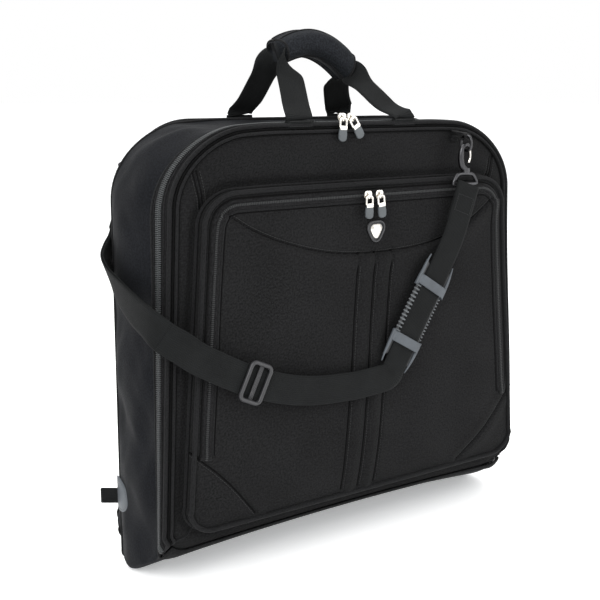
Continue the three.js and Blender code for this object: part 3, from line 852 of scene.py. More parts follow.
def pocket_height(x, z):
    """How far the pocket's face stands forward of its edge: crowned panels between sewn seams."""
    points = np.stack([x.ravel(), z.ravel()], axis=-1)
    edge = distance_to(points, closed(POCKET_LOOP))
    crown = 8 * MM * (1 - np.exp(-edge / (28 * MM)))
    below_arc = points[:, 1] < np.interp(points[:, 0], ARC_SEAM[:, 0], ARC_SEAM[:, 1])
    to_arc = distance_to(points, ARC_SEAM)
    crown += np.where(below_arc, 2.6 * MM * np.exp(-((to_arc - 9 * MM) / (13 * MM)) ** 2), 0)
    crown -= 3.0 * MM * np.exp(-(to_arc / (2.6 * MM)) ** 2)
    rib_shift = np.interp(points[:, 1], [84 * MM, 400 * MM], [-20 * MM, 0])
    for middle in ((RIB_TOPS[0] + RIB_TOPS[1]) / 2, (RIB_TOPS[1] + RIB_TOPS[2]) / 2):
        across = points[:, 0] - POCKET_X - middle * MM - rib_shift
        crown += np.where(below_arc, 3.4 * MM * np.exp(-(across / (9 * MM)) ** 2), 0)
    for seam in RIB_SEAMS:
        crown -= 3.0 * MM * np.exp(-(distance_to(points, seam) / (2.8 * MM)) ** 2)
    for seam in PATCH_SEAMS:
        away = distance_to(points, seam)
        crown -= 2.6 * MM * np.exp(-(away / (2.6 * MM)) ** 2)
        crown += 1.4 * MM * np.exp(-((away - 9 * MM) / (8 * MM)) ** 2)
    crown += 0.9 * MM * soft_noise(points[:, 0], points[:, 1], 130 * MM, 31) * np.clip(edge / (30 * MM), 0, 1)
    return crown.reshape(x.shape)


def build_pocket():
    bottom, top = POCKET_LOOP[:, 1].min(), POCKET_LOOP[:, 1].max()
    half = half_width_fn(POCKET_HALF, POCKET_HALF - 30 * MM, bottom, top, 40 * MM, 30 * MM)
    x, z = panel_grid(half, 320, 330, bottom, top, 40 * MM)
    x = x + POCKET_X
    y = POCKET_RIM - pocket_height(x, z)
    panel = surface("pocket_front_cloth", np.stack([x, y, z], axis=-1), BLACK_CLOTH)
    thicken(panel, 2.5 * MM, inward=True)
    ride(panel, "lid", "black_cloth", "pocket_panel")

    lid_face = LID_FRONT - 0.5 * MM
    wall = []
    for t in np.linspace(0, 1, 6):
        bow = (1 + 2.5 * math.sin(math.pi * t)) * MM
        wall.append(at_depth(inset(POCKET_LOOP, -bow), lid_face + (POCKET_RIM - lid_face) * t))
    side = surface("pocket_side_cloth", np.stack(wall), BLACK_CLOTH, close_columns=True)
    ride(side, "lid", "black_cloth")
    bead_loop = at_depth(inset(POCKET_LOOP, -1.5 * MM), POCKET_RIM - 1.5 * MM)
    piping = tube("pocket_piping_outer", bead_loop, 2.9 * MM, PIPING, closed=True)
    ride(piping, "lid", "piping", "pocket_piping")
    foot = at_depth(inset(POCKET_LOOP, -4 * MM), lid_face - 0.5 * MM)
    cord("pocket_piping_foot", foot, 2.2 * MM, "lid", closed=True)


def pocket_surface(loop):
    """Points of a loop laid on the pocket's face."""
    y = POCKET_RIM - pocket_height(loop[:, 0], loop[:, 1])
    return np.stack([loop[:, 0], y, loop[:, 1]], axis=-1)


def open_run(loop):
    """The stretch of a loop above the corner patches, from the lower right round the top to the lower left."""
    return loop[loop[:, 1] > PATCH_TOP]


def build_pocket_zipper():
    rows = []
    for distance in (7, 9.5, 12, 14.5, 17, 19):
        path = pocket_surface(open_run(inset(POCKET_LOOP, distance * MM)))
        path[:, 1] -= 0.9 * MM
        rows.append(path)
    tape = surface("pocket_zipper_cloth", np.stack(rows), TAPE, flip=True)
    thicken(tape, 0.7 * MM)
    ride(tape, "lid", "zipper_tape", "pocket_zipper")
    middle = pocket_surface(open_run(inset(POCKET_LOOP, 13 * MM)))
    middle[:, 1] -= 1.8 * MM
    tooth = bead(3.6 * MM, 1.7 * MM, 1.6 * MM)
    teeth = run_of("pocket_coil", middle, (0, -1, 0), 2.4 * MM, tooth, DARK_COIL, turned=True)
    ride(teeth, "lid", "zipper_tape")
    inner = pocket_surface(open_run(inset(POCKET_LOOP, 20.5 * MM)))
    cord("pocket_piping_inner", inner, 1.7 * MM, "lid")
    # dark cords of painted shade in the seams either side of the pocket's zipper
    for name, distance in (("outer", 5.2), ("inner", 23.4)):
        line = pocket_surface(open_run(inset(POCKET_LOOP, distance * MM)))
        cord(f"pocket_zip_seam_shade_{name}", line, 0.7 * MM, "lid", SHADE)


def seam_shade_line(name, path):
    """A dark cord of painted shade in the groove where two panels of the pocket's face are sewn together."""
    cord(name, pocket_surface(path), 1.15 * MM, "lid", SHADE)


def seam_stitches(name, seam, offset):
    """A row of stitches beside a seam on the pocket's face."""
    ahead = np.gradient(seam, axis=0)
    across = unit_rows(np.stack([-ahead[:, 1], ahead[:, 0]], axis=-1))
    path = pocket_surface(seam + across * offset)
    path[:, 1] -= 0.15 * MM
    stitch_row(name, path, (0, -1, 0), PANEL_STITCH, "lid", "black_cloth")


def build_pocket_seams():
    # dark cords of painted shade along the seams, then rows of stitches beside them
    seam_shade_line("seam_shade_arc", ARC_SEAM)
    for i, seam in enumerate(RIB_SEAMS):
        seam_shade_line(f"seam_shade_rib_{i}", seam)
    for i, seam in enumerate(PATCH_SEAMS):
        seam_shade_line(f"seam_shade_patch_{i}", seam)
    seam_stitches("stitch_arc", ARC_SEAM, 3.2 * MM)
    for i, seam in enumerate(RIB_SEAMS):
        seam_stitches(f"stitch_rib_{i}", seam, 2.6 * MM)
    for i, seam in enumerate(PATCH_SEAMS):
        seam_stitches(f"stitch_patch_{i}", seam, -3.0 * MM)


def build_seam_to_corner():
    """The seam that joins the pocket's lower left corner to the lid's edge."""
    start = np.array([POCKET_LOOP[:, 0].min() + 14 * MM, POCKET_LOOP[:, 1].min() + 8 * MM])
    path = smooth_path([start, start + (-14 * MM, -14 * MM), start + (-40 * MM, -22 * MM)], 14)
    cord("lid_corner_seam", on_lid(path, 0.2 * MM), 1.3 * MM, "lid")


def build_border_stitches():
    for side, name in SIDES:
        for i in (0, 1):
            path = border_seam(side) + np.array([side * i * BORDER_SEAM_GAP * MM, 0])
            # a dark cord of painted shade in the groove of each row
            cord(f"seam_shade_border_{name}_{i}", on_lid(path), 0.55 * MM, "lid", SHADE)
        for i, shift in enumerate((-3.5, BORDER_SEAM_GAP + 3.5)):
            points = on_lid(border_seam(side) + np.array([side * shift * MM, 0]), 0.2 * MM)
            stitch_row(f"stitch_border_{name}_{i}", points, (0, -1, 0), PANEL_STITCH, "lid", "black_cloth")


# ---------------------------------------------------------------- small shapes
def rounded_loop(width, height, radius, steps=6):
    """A rounded rectangle about the origin, as (n, 2), anticlockwise."""
    points = []
    for i, (sx, sy) in enumerate(((1, 1), (-1, 1), (-1, -1), (1, -1))):
        centre = (sx * (width / 2 - radius), sy * (height / 2 - radius))
        for k in range(steps + 1):
            angle = i * math.pi / 2 + k / steps * math.pi / 2
            points.append((centre[0] + radius * math.cos(angle), centre[1] + radius * math.sin(angle)))
    return np.array(points)


def on_plane(points, origin, right, up):
    """Points (n, 2) placed on a plane in space."""
    right, up = np.asarray(right, float), np.asarray(up, float)
    return np.asarray(origin, float) + points[:, :1] * right + points[:, 1:2] * up


def plate(name, loop, origin, right, up, thickness, bevel, material):
    """A flat plate with rounded edges, centred on its plane."""
    mesh = bmesh.new()
    normal = np.cross(right, up)
    ring = on_plane(loop, np.asarray(origin) - normal * thickness / 2, right, up)
    verts = [mesh.verts.new(p) for p in ring]
    edges = [mesh.edges.new((verts[i], verts[(i + 1) % len(verts)])) for i in range(len(verts))]
    bmesh.ops.triangle_fill(mesh, edges=edges, use_beauty=True, normal=Vector(normal))
    made = bmesh.ops.extrude_face_region(mesh, geom=mesh.faces[:])
    far_side = [v for v in made["geom"] if isinstance(v, bmesh.types.BMVert)]
    bmesh.ops.translate(mesh, verts=far_side, vec=Vector(normal * thickness))
    bmesh.ops.recalc_face_normals(mesh, faces=mesh.faces[:])
    data = bpy.data.meshes.new(name)
    mesh.to_mesh(data)
    mesh.free()
    data.materials.append(material)
    obj = bpy.data.objects.new(name, data)
    bpy.context.scene.collection.objects.link(obj)
    edge = obj.modifiers.new("edge", "BEVEL")
    edge.width = bevel
    edge.segments = 3
    edge.limit_method = "ANGLE"
    data.polygons.foreach_set("use_smooth", [True] * len(data.polygons))
    return obj


def dome(name, loop, origin, right, up, height, material, rings=6):
    """A shallow dome over an outline."""
    normal = np.cross(right, up)
    grid = []
    for i in range(rings + 1):
        share = 1 - i / rings
        lift = height * (1 - share**3)
        grid.append(on_plane(loop * max(share, 0.001), np.asarray(origin) + normal * lift, right, up))
    faces = grid_faces(rings + 1, len(loop), close_columns=True)
    return mesh_object(name, np.vstack(grid), faces, material)


def joined(name, objects):
    """One object from several, keeping their materials."""
    bpy.ops.object.select_all(action="DESELECT")
    for obj in objects:
        obj.select_set(True)
        bpy.context.view_layer.objects.active = obj
        for modifier in list(obj.modifiers):
            bpy.ops.object.modifier_apply(modifier=modifier.name)
    bpy.context.view_layer.objects.active = objects[0]
    bpy.ops.object.join()
    objects[0].name = name
    return objects[0]


X, Y, Z = np.eye(3)


# ---------------------------------------------------------------- rear half
REAR_HALF = high("rear_shell").x
REAR_TOP = high("rear_shell").z
REAR_SEAMS = (0.34, 0.67)  # heights of the seams across the rear face, as shares of its height


def rear_slice(y):
    """Outline of the thin rear half at one depth; its bottom curls up towards its rear face."""
    t = (y - CASE_REAR) / (REAR_FACE - CASE_REAR)
    bottom = 18 * MM + 20 * MM * t**2.2
    half = REAR_HALF + 1 * MM - 9 * MM * t
    loop = outline(half, half - TAPER, bottom, REAR_TOP - 2 * MM * t, 88 * MM, 24 * MM, arch=10 * MM)
    loop[:, 0] *= 1 + 0.034 * np.exp(-((loop[:, 1] - 30 * MM) / (30 * MM)) ** 2)
    return loop


def build_rear_half():
    edge_y = REAR_FACE - 5 * MM
    depths = np.linspace(low("rear_liner").y, edge_y, 12)
    grid = np.stack([at_depth(rear_slice(y), y) for y in depths])
    hold = (np.sin(math.pi * np.linspace(0, 1, 12)) ** 0.7)[:, None]
    length = arc_lengths(np.swapaxes(grid, 0, 1)).T
    wave_out = soft_noise(length, grid[..., 1] * 2, 110 * MM, 41) * 1.2 * MM + 1.5 * MM
    normals = np.stack([loop_normals(g[:, [0, 2]]) for g in grid])
    grid[..., 0] += normals[..., 0] * wave_out * hold
    grid[..., 2] += normals[..., 1] * wave_out * hold * (grid[..., 2] > 50 * MM)
    wall = surface("rear_gusset_cloth", grid, GUSSET_CLOTH, close_columns=True, flip=True)
    ride(wall, "rear_half", "gusset_cloth", "rear_shell")
    build_rear_face(edge_y)
    front = at_depth(rear_slice(depths[0]), depths[0] + 1 * MM)
    cord("rear_front_piping", front, 2.0 * MM, "rear_half", closed=True)
    build_rear_liner(depths[0])


def build_rear_face(edge_y):
    """The padded outer face with its two seams and their stitches."""
    loop = rear_slice(edge_y)
    bottom, top = loop[:, 1].min(), loop[:, 1].max()
    flat = filled(loop, 70)
    edge = distance_to(flat.reshape(-1, 2), closed(loop)).reshape(flat.shape[:2])
    x, z = flat[..., 0], flat[..., 1]
    crown = 7.5 * MM * (1 - np.exp(-edge / (26 * MM)))
    crown += 1.4 * MM * soft_noise(x, z, 190 * MM, 42) * np.clip(edge / (40 * MM), 0, 1)
    for level in REAR_SEAMS:
        seam_z = bottom + (top - bottom) * level
        crown -= 2.4 * MM * np.exp(-((z - seam_z) / (3.4 * MM)) ** 2) * np.clip(edge / (8 * MM), 0, 1)
    points = np.stack([x, edge_y + crown, z], axis=-1).reshape(-1, 3)
    faces = grid_faces(*flat.shape[:2], close_columns=True, flip=True)
    face = mesh_object("rear_face_cloth", points, faces, BLACK_CLOTH, flat.reshape(-1, 2))
    ride(face, "rear_half", "black_cloth")
    reach = REAR_HALF - 38 * MM
    for level in REAR_SEAMS:
        seam_z = bottom + (top - bottom) * level + 3.4 * MM
        path = np.array([(u * reach, edge_y + 6.4 * MM, seam_z) for u in np.linspace(-1, 1, 40)])
        name = f"rear_stitch_{int(level * 100)}"
        stitch_row(name, path, (0, 1, 0), PANEL_STITCH, "rear_half", "black_cloth")
    binding = tube("rear_binding_cord", at_depth(loop, edge_y + 0.5 * MM), 3.0 * MM, PIPING, closed=True)
    ride(binding, "rear_half", "piping", "rear_binding")


def build_rear_liner(depth):
    liner_loop = inset(rear_slice(depth), 2 * MM)
    low_z, high_z = liner_loop[:, 1].min(), liner_loop[:, 1].max()
    wide = liner_loop[:, 0].max()
    radius = 86 * MM
    half = half_width_fn(wide, wide - TAPER, low_z, high_z, radius, 24 * MM)
    x, z = panel_grid(half, 60, 60, low_z, high_z, radius)
    y = depth + 1.2 * MM + soft_noise(x, z, 150 * MM, 43) * 0.5 * MM
    liner = surface("rear_lining", np.stack([x, y, z], axis=-1), LINING)
    ride(liner, "rear_half", "lining", "rear_liner")


def build_fold_cloth():
    """The strip of cloth that joins the two halves along the fold."""
    start, end = CASE_REAR - 3 * MM, low("rear_liner").y + 4 * MM
    u = np.linspace(-1, 1, 90)
    half = CASE_HALF - 12 * MM
    rows = []
    for y in np.linspace(start, end, 9):
        t = (y - start) / (end - start)
        z = 3.2 * MM + 11 * MM * (1 - u**2) + 2 * MM * math.sin(math.pi * t)
        rows.append(np.stack([u * half, np.full_like(u, y), z], axis=-1))
    strip = surface("fold_cloth", np.stack(rows), GUSSET_CLOTH)
    thicken(strip, 1.4 * MM)
    apply_thickness(strip)
    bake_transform(strip)


# ---------------------------------------------------------------- side patches and tabs
# each ring of the patch, as a share of its outline and its lift in millimetres; the fourth holds the stitches
SIDE_PATCH_RINGS = (
    (1.0, 0.0), (0.985, 1.3), (0.93, 1.7), (0.86, 1.2), (0.8, 1.7), (0.5, 2.1), (0.2, 2.3), (0.001, 2.3),
)


def build_side_patch(side, name):
    node = f"corner_patch_{name}"
    lo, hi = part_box(node)
    height, depth = (hi.z - lo.z), (hi.y - lo.y)
    angles = np.linspace(-math.pi / 2, math.pi / 2, 25)
    rim = np.stack([depth * np.cos(angles) ** 0.8, height / 2 * np.sin(angles)], axis=-1)
    rear = np.array([(0.0, s * height / 2) for s in np.linspace(0.9, -0.9, 11)])
    loop = np.vstack([rim, rear])
    middle = np.array([depth * 0.42, 0])
    grid = np.stack([
        np.column_stack([(loop - middle) * share + middle, np.full(len(loop), lift * MM)])
        for share, lift in SIDE_PATCH_RINGS
    ])
    y = hi.y - grid[..., 0]
    z = (lo.z + hi.z) / 2 + grid[..., 1]
    bulge = np.interp(y, [lo.y, (lo.y + hi.y) / 2, hi.y], [3.2 * MM, 2.6 * MM, 0.4 * MM])
    x = side * (CASE_HALF + bulge - 2.2 * MM + grid[..., 2])
    points = np.stack([x, y, z], axis=-1)
    faces = grid_faces(len(grid), len(loop), close_columns=True, flip=side > 0)
    patch = mesh_object(f"side_patch_{name}", points.reshape(-1, 3), faces, GREY_RUBBER)
    ride(patch, "case", "grey_rubber", node)
    seam = points[3] + np.array([side * 0.2 * MM, 0, 0])
    stitch_name = f"side_patch_stitch_{name}"
    stitch_row(stitch_name, seam, (side, 0, 0), PATCH_STITCH, "case", "grey_rubber", closed=True)


def build_side_tab(side, name):
    node = f"side_tab_{name}"
    lo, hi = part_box(node)
    z = (lo.z + hi.z) / 2
    inner, outer = (hi.x, lo.x) if side < 0 else (lo.x, hi.x)
    root = np.array([inner - side * 4 * MM, lo.y - 3 * MM, z])
    tip = np.array([outer + side * 2 * MM, hi.y, z])
    along = (tip - root) / np.linalg.norm(tip - root)
    aside = np.cross(Z, along) * 1.2 * MM
    length = np.linalg.norm(tip - root)
    half_way = root + along * 0.5 * length
    bend = tip - along * 2 * MM
    path = [root - aside, half_way - aside, bend - aside, tip, bend + aside, half_way + aside, root + aside]
    path = smooth_path(path, 40)
    across = np.broadcast_to(Z, path.shape)
    loop = ribbon(f"side_loop_{name}", path, across, hi.z - lo.z, 1.5 * MM, WEBBING)
    ride(loop, "case", "webbing", node)


# ---------------------------------------------------------------- handles
FOOT_LEFT, FOOT_RIGHT = -88 * MM, 74 * MM
GRIP_LEFT, GRIP_RIGHT = -72 * MM, 36 * MM  # ends of the padded wrap, which hangs a little to the left
LEG_SHAPE = ((0.25, 0.32), (0.5, 0.6), (0.78, 0.87))  # shares of a leg's height with its reach towards the grip


def grip_height(x):
    """Height of the middle of the grip along its length: an arch that droops more at its right end."""
    u = (x - GRIP_LEFT) / (GRIP_RIGHT - GRIP_LEFT)
    crest = high("front_grip_wrap").z - 16 * MM
    return crest - 44 * MM * np.abs(u - 0.4) ** 1.9 * np.where(u < 0.4, 1.6, 1.85)


def handle_path(y_base, y_grip, z_base):
    """Centre line of one carrying loop, from its left foot through the grip to its right foot."""
    def in_grip(x):
        return (x, y_grip, float(grip_height(x)))

    left = in_grip(GRIP_LEFT + 4 * MM)
    right = in_grip(GRIP_RIGHT - 4 * MM)
    inner = [in_grip(x * MM) for x in (-50, -25, 0, 18)]
    points = []
    y_base += math.copysign(3 * MM, y_grip - y_base)  # behind the sewn foot, so the loop can fold over it
    for foot, end in ((FOOT_LEFT, left), (FOOT_RIGHT, right)):
        leg = [(foot, y_base, z_base + 1 * MM), (foot, y_base, z_base + 6 * MM)]
        for t, pull in LEG_SHAPE:
            x = foot + (end[0] - foot) * pull
            leg.append((x, y_base + (y_grip - y_base) * t, z_base + (end[2] - z_base) * t))
        points.append(leg + [end])
    return smooth_path(points[0] + inner + points[1][::-1], 110)


def build_handle(prefix, body, root, y_base, y_grip, z_base, facing):
    """One carrying loop: webbing that turns on edge in the grip, and two sewn feet that ride the bag."""
    path = handle_path(y_base, y_grip, z_base)
    share = np.linspace(0, 1, len(path))
    tangent = frames_along(path, False)
    turn = np.clip((share - 0.2) / 0.15, 0, 1) - np.clip((share - 0.65) / 0.15, 0, 1)
    turn = turn * turn * (3 - 2 * turn)
    side = np.where(share < 0.5, 1.0, -1.0)
    across = np.stack([side * (1 - 0.85 * turn), turn * facing, np.zeros_like(turn)], axis=-1)
    across -= tangent * (across * tangent).sum(axis=1, keepdims=True)
    width = STRAP_WIDTH * (1 - 0.4 * np.clip(turn, 0, 1) ** 3)
    band = ribbon(f"{prefix}_handle_band", path, across, 1.0, 2.6 * MM, WEBBING)
    mesh = band.data
    points = vertex_points(mesh).reshape(len(path), -1, 3)
    across = unit_rows(across)
    offset = points - path[:, None]
    along = (offset * across[:, None]).sum(axis=-1, keepdims=True)
    points = path[:, None] + offset - along * across[:, None] * (1 - width[:, None, None])
    set_vertex_points(mesh, points)
    uv = mesh.uv_layers[0].data
    flat = np.zeros(len(uv) * 2)
    uv.foreach_get("uv", flat)
    flat = flat.reshape(-1, 2)
    flat[:, 0] *= STRAP_WIDTH
    uv.foreach_set("uv", flat.ravel())
    ride(band, body, "webbing", f"{prefix}_handle_webbing")
    for x, name in ((FOOT_LEFT, "left"), (FOOT_RIGHT, "right")):
        line = [(x, y_base, z_base + dz * MM) for dz in (1, -3, -7)]
        line.append((x, y_base + facing * 3 * MM, z_base - 10 * MM))
        line = smooth_path(line, 12)
        across = np.broadcast_to(X * facing, line.shape)
        foot = ribbon(f"{prefix}_foot_{name}", line, across, STRAP_WIDTH + 1 * MM, 3.2 * MM, WEBBING)
        ride(foot, root, "webbing")
        middle = (x, y_base - facing * 1.7 * MM, z_base - 3 * MM)
        seam = on_plane(rounded_loop(32 * MM, 6 * MM, 1 * MM), middle, X * facing, Z)
        stitch_name = f"{prefix}_foot_stitch_{name}"
        stitch_row(stitch_name, seam, (0, -facing, 0), WEBBING_STITCH, root, "webbing", closed=True)


def build_grip_half(prefix, body, facing):
    """Half of the padded wrap: a D section along an arch, flat where it meets the other half."""
    lo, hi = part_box(f"{prefix}_grip_wrap")
    split = (high("front_grip_wrap").y + low("rear_grip_wrap").y) / 2
    seam_y = split - facing * 0.4 * MM
    depth = abs((lo.y if facing > 0 else hi.y) - seam_y)
    rows = 46
    turns = np.linspace(-math.pi / 2, math.pi / 2, 22)
    grid = []
    for i in range(rows):
        u = -1 + 2 * i / (rows - 1)
        x = (GRIP_LEFT + GRIP_RIGHT) / 2 + u * (GRIP_RIGHT - GRIP_LEFT) / 2
        end = (1 - abs(u) ** 14) ** 0.5 if abs(u) < 1 else 0.0
        swell = (0.94 + 0.06 * (1 - u**2)) * (0.82 + 0.18 * end)
        middle = float(grip_height(x))
        height = (17 + 1.5 * u) * MM * swell
        ring = []
        for a in turns:
            c, s = math.cos(a), math.sin(a)
            out = depth * swell * abs(c) ** 0.75
            lean = 0.35 * u * height * s  # the ends of the roll lean with the arch
            ring.append((x + lean, seam_y - facing * out, middle + height * math.copysign(abs(s) ** 0.8, s)))
        grid.append(ring)
    grid = np.array(grid)
    noise = soft_noise(grid[..., 0], grid[..., 2] * 1.6, 34 * MM, 51 if facing > 0 else 52)
    grid[..., 1] -= facing * noise * 0.7 * MM * np.cos(turns)[None, :]
    count = grid.shape[1]
    faces = grid_faces(rows, count, close_columns=True, flip=facing > 0)
    caps = [tuple(range(count)), tuple(reversed(range((rows - 1) * count, rows * count)))]
    uvs = np.stack([arc_lengths(grid), arc_lengths(np.swapaxes(grid, 0, 1)).T], axis=-1).reshape(-1, 2)
    wrap = mesh_object(f"{prefix}_grip_pad", grid.reshape(-1, 3), faces + caps, GRIP_CLOTH, uvs)
    ride(wrap, body, "black_cloth", f"{prefix}_grip_wrap")
    for k, name, lift in ((2, "low", -0.2 * MM), (count - 3, "high", 0.2 * MM)):
        edge = grid[2:-2, k] + np.array([0, -facing * 0.2 * MM, lift])
        cord(f"{prefix}_grip_binding_{name}", edge, 1.3 * MM, body)
    for k, name in ((1, "left"), (rows - 2, "right")):
        ride(tube(f"{prefix}_grip_end_{name}", grid[k], 1.5 * MM, PIPING, up=X), body, "piping")


# ---------------------------------------------------------------- shoulder strap
PAD_BEARING = math.atan2(71, 117)  # the strap's lean on the bag's face, from upright
PAD_MIDDLE = np.array([
    (low("shoulder_pad").x + high("shoulder_pad").x) / 2,
    0,
    (low("shoulder_pad").z + high("shoulder_pad").z) / 2,
])
PAD_ALONG = np.array([math.sin(PAD_BEARING), 0, math.cos(PAD_BEARING)])
PAD_ACROSS = np.array([math.cos(PAD_BEARING), 0, -math.sin(PAD_BEARING)])
STRAP_Y = (low("strap_front").y + high("strap_front").y) / 2
BUCKLE_MIDDLE = middle_of("strap_buckle")
STRAP_SAMPLES = 420
STRAP_BAND = 2.2 * MM  # thickness of the strap's outer layer
STRAP_UNDER = 2.0 * MM  # thickness of the layer behind it


def pad_point(reach):
    p = PAD_MIDDLE + PAD_ALONG * reach * MM
    return (p[0] / MM, p[2] / MM)


def strap_line():
    """Control points of the strap in millimetres with the way its face looks at each."""
    face = STRAP_Y / MM
    front = [(160, 481), (149, 449), (134, 410), pad_point(78), pad_point(40), pad_point(0), pad_point(-40),
             pad_point(-75), pad_point(-90), (4, 233), (-40, 232), (-110, 239), (-178, 261), (-244, 296)]
    line = [((x, face, z), (0, -1, 0)) for x, z in front]
    line += [
        ((-272, face + 1, 316), (-0.1, -1, 0)), ((-291, -92, 330), (-0.5, -0.86, 0)),
        ((-301, -74, 343), (-0.9, -0.43, 0)), ((-306, -45, 355), (-1, -0.1, 0)),
        ((-308, -5, 372), (-1, 0.05, -0.2)), ((-307, 18, 383), (-0.93, 0.2, -0.36)),
        ((-303, 36, 392), (-0.88, 0.36, -0.36)), ((-292, 58, 400), (-0.85, 0.5, -0.2)),
        ((-279, 77, 408), (-0.7, 0.7, 0)), ((-262, 93, 420), (-0.3, 0.95, 0)), ((-248, 97, 444), (0, 1, 0)),
        ((-236, 98, 486), (0, 1, 0)),
    ]
    return line


def nearest_index(points, place):
    return int(np.argmin(np.linalg.norm(points - place, axis=1)))


def strap_points():
    """The strap's centre line, its width direction and the way its face looks, at even steps."""
    line = strap_line()
    control = np.array([p for p, _ in line]) * MM
    points = smooth_path(control, STRAP_SAMPLES)
    nearest = [nearest_index(points, c) for c in control]
    steps = np.arange(STRAP_SAMPLES)
    facing = np.stack([np.interp(steps, nearest, [n[k] for _, n in line]) for k in range(3)], axis=-1)
    across = np.cross(facing, frames_along(points, False))
    return points, unit_rows(across), unit_rows(facing)


def build_strap():
    points, across, facing = strap_points()
    split = int(np.nonzero((points[:, 0] < -290 * MM) & (points[:, 1] > -96 * MM))[0][0])
    ruffle = soft_noise(points[:, 0] * 1.3, points[:, 2], 160 * MM, 61) * 1.0 * MM
    centre = points + facing * ruffle[:, None] * np.sin(np.linspace(0, math.pi, len(points)))[:, None]
    second = centre - facing * 2.5 * MM

    def layer(name, line, start, end, width, thickness, body, *replaced):
        band = ribbon(name, line[start:end], across[start:end], width, thickness, WEBBING)
        ride(band, body, "webbing", *replaced)

    buckle = nearest_index(points, BUCKLE_MIDDLE)
    under = STRAP_WIDTH - 1 * MM
    layer("strap_front_band", centre, 0, split + 1, STRAP_WIDTH, STRAP_BAND, "lid", "strap_front")
    layer("strap_rear_band", centre, split, None, STRAP_WIDTH, STRAP_BAND, "rear_half", "strap_rear")
    layer("strap_inner_front", second, buckle, split + 1, under, STRAP_UNDER, "lid")
    layer("strap_inner_rear", second, split, None, under, STRAP_UNDER, "rear_half")
    layer("strap_end_front", second, 0, 26, under, STRAP_UNDER, "lid")
    build_end_seam(centre, across)


def build_end_seam(centre, across):
    """The box of stitches where the strap's front end is folded back and sewn."""
    first, last, reach = 8, 18, 14 * MM
    steps = np.linspace(reach, -reach, 9)
    box_seam = [centre[k] + across[k] * reach for k in range(first, last)]
    box_seam += [centre[last] + across[last] * s for s in steps]
    box_seam += [centre[k] - across[k] * reach for k in range(last, first, -1)]
    box_seam += [centre[first] + across[first] * s for s in steps[::-1]]
    seam = np.array(box_seam) + np.array([0, -1.3 * MM, 0])
    stitch_row("strap_end_stitch", seam, (0, -1, 0), WEBBING_STITCH, "lid", "webbing", closed=True)


def build_buckle():
    """Tri-glide: a rounded frame with a ribbed middle bar."""
    along = np.array([-134, 0, 64.0])
    along /= np.linalg.norm(along)
    wide = np.cross(along, Y)
    path = on_plane(rounded_loop(29 * MM, 47 * MM, 6 * MM), BUCKLE_MIDDLE, along, wide)
    bars = [tube("buckle_ring", path, 2.7 * MM, PLASTIC, closed=True, sides=12)]
    for shift, size in ((0, 1.2), (2, 1.0), (-2, 1.0)):
        ends = [BUCKLE_MIDDLE + along * shift * MM + wide * s * 21 * MM for s in (-1, -0.5, 0, 0.5, 1)]
        bars.append(tube(f"buckle_bar_{shift}", ends, size * MM, PLASTIC, sides=12))
    ride(joined("buckle_glide", bars), "buckle", "black_plastic", "strap_buckle")


def pad_place(u, v, depth):
    """A point on the pad: u across, v along, in millimetres."""
    return PAD_MIDDLE + PAD_ACROSS * u * MM + PAD_ALONG * v * MM + np.array([0, depth, 0])


PAD_HALF, PAD_END = 25.0, 70.0  # half width and half length of the pad's rubber, millimetres


def pad_bars(name, count, u_at, first, pitch, lift, shape):
    """A row of small moulded bars along one edge of the pad."""
    face = low("shoulder_pad").y
    spots = [pad_place(u_at(i), first + pitch * i, face - lift * MM) for i in range(count)]
    places = [place_matrix(spot, PAD_ACROSS, PAD_ALONG) for spot in spots]
    ride(copies(name, *shape, places, PAD_RIB, smooth=True), "pad", "black_rubber")


def build_pad():
    rows = []
    back = high("shoulder_pad").y
    front = low("shoulder_pad").y
    for v in np.linspace(-1, 1, 41):
        row = []
        for u in np.linspace(-1, 1, 25):
            notch = 15 * (1 - abs(u)) ** 0.9
            waist = 1 - 0.1 * (1 - v * v)
            row.append((u * PAD_HALF * waist, v * (PAD_END - notch)))
        rows.append(row)
    flat = np.array(rows)
    u, v = flat[..., 0], flat[..., 1]
    edge = np.clip((PAD_HALF - np.abs(u)) / 4, 0, 1)
    face = front + 1.4 * MM - 1.6 * MM * np.sqrt(edge)
    top = PAD_MIDDLE + u[..., None] * MM * PAD_ACROSS + v[..., None] * MM * PAD_ALONG
    top[..., 1] = face
    pad = surface("pad_rubber", top, BLACK_RUBBER)
    thicken(pad, (back - front) * 0.85, inward=True)
    edge_round = pad.modifiers.new("edge", "BEVEL")
    edge_round.width = 0.8 * MM
    edge_round.segments = 2
    ride(pad, "pad", "black_rubber", "shoulder_pad")

    def rib_u(i):
        return -20.0 - 0.6 * math.cos(math.pi * (i - 6) / 12)

    pad_bars("pad_ribs", 13, rib_u, -33, 5.5, 0.6, bead(11 * MM, 3.6 * MM, 4.2 * MM))
    pad_bars("pad_teeth", 16, lambda i: 22.5, -34, 4.6, 0.2, bead(4.5 * MM, 2.6 * MM, 3.4 * MM))
    build_pad_bridges(front)


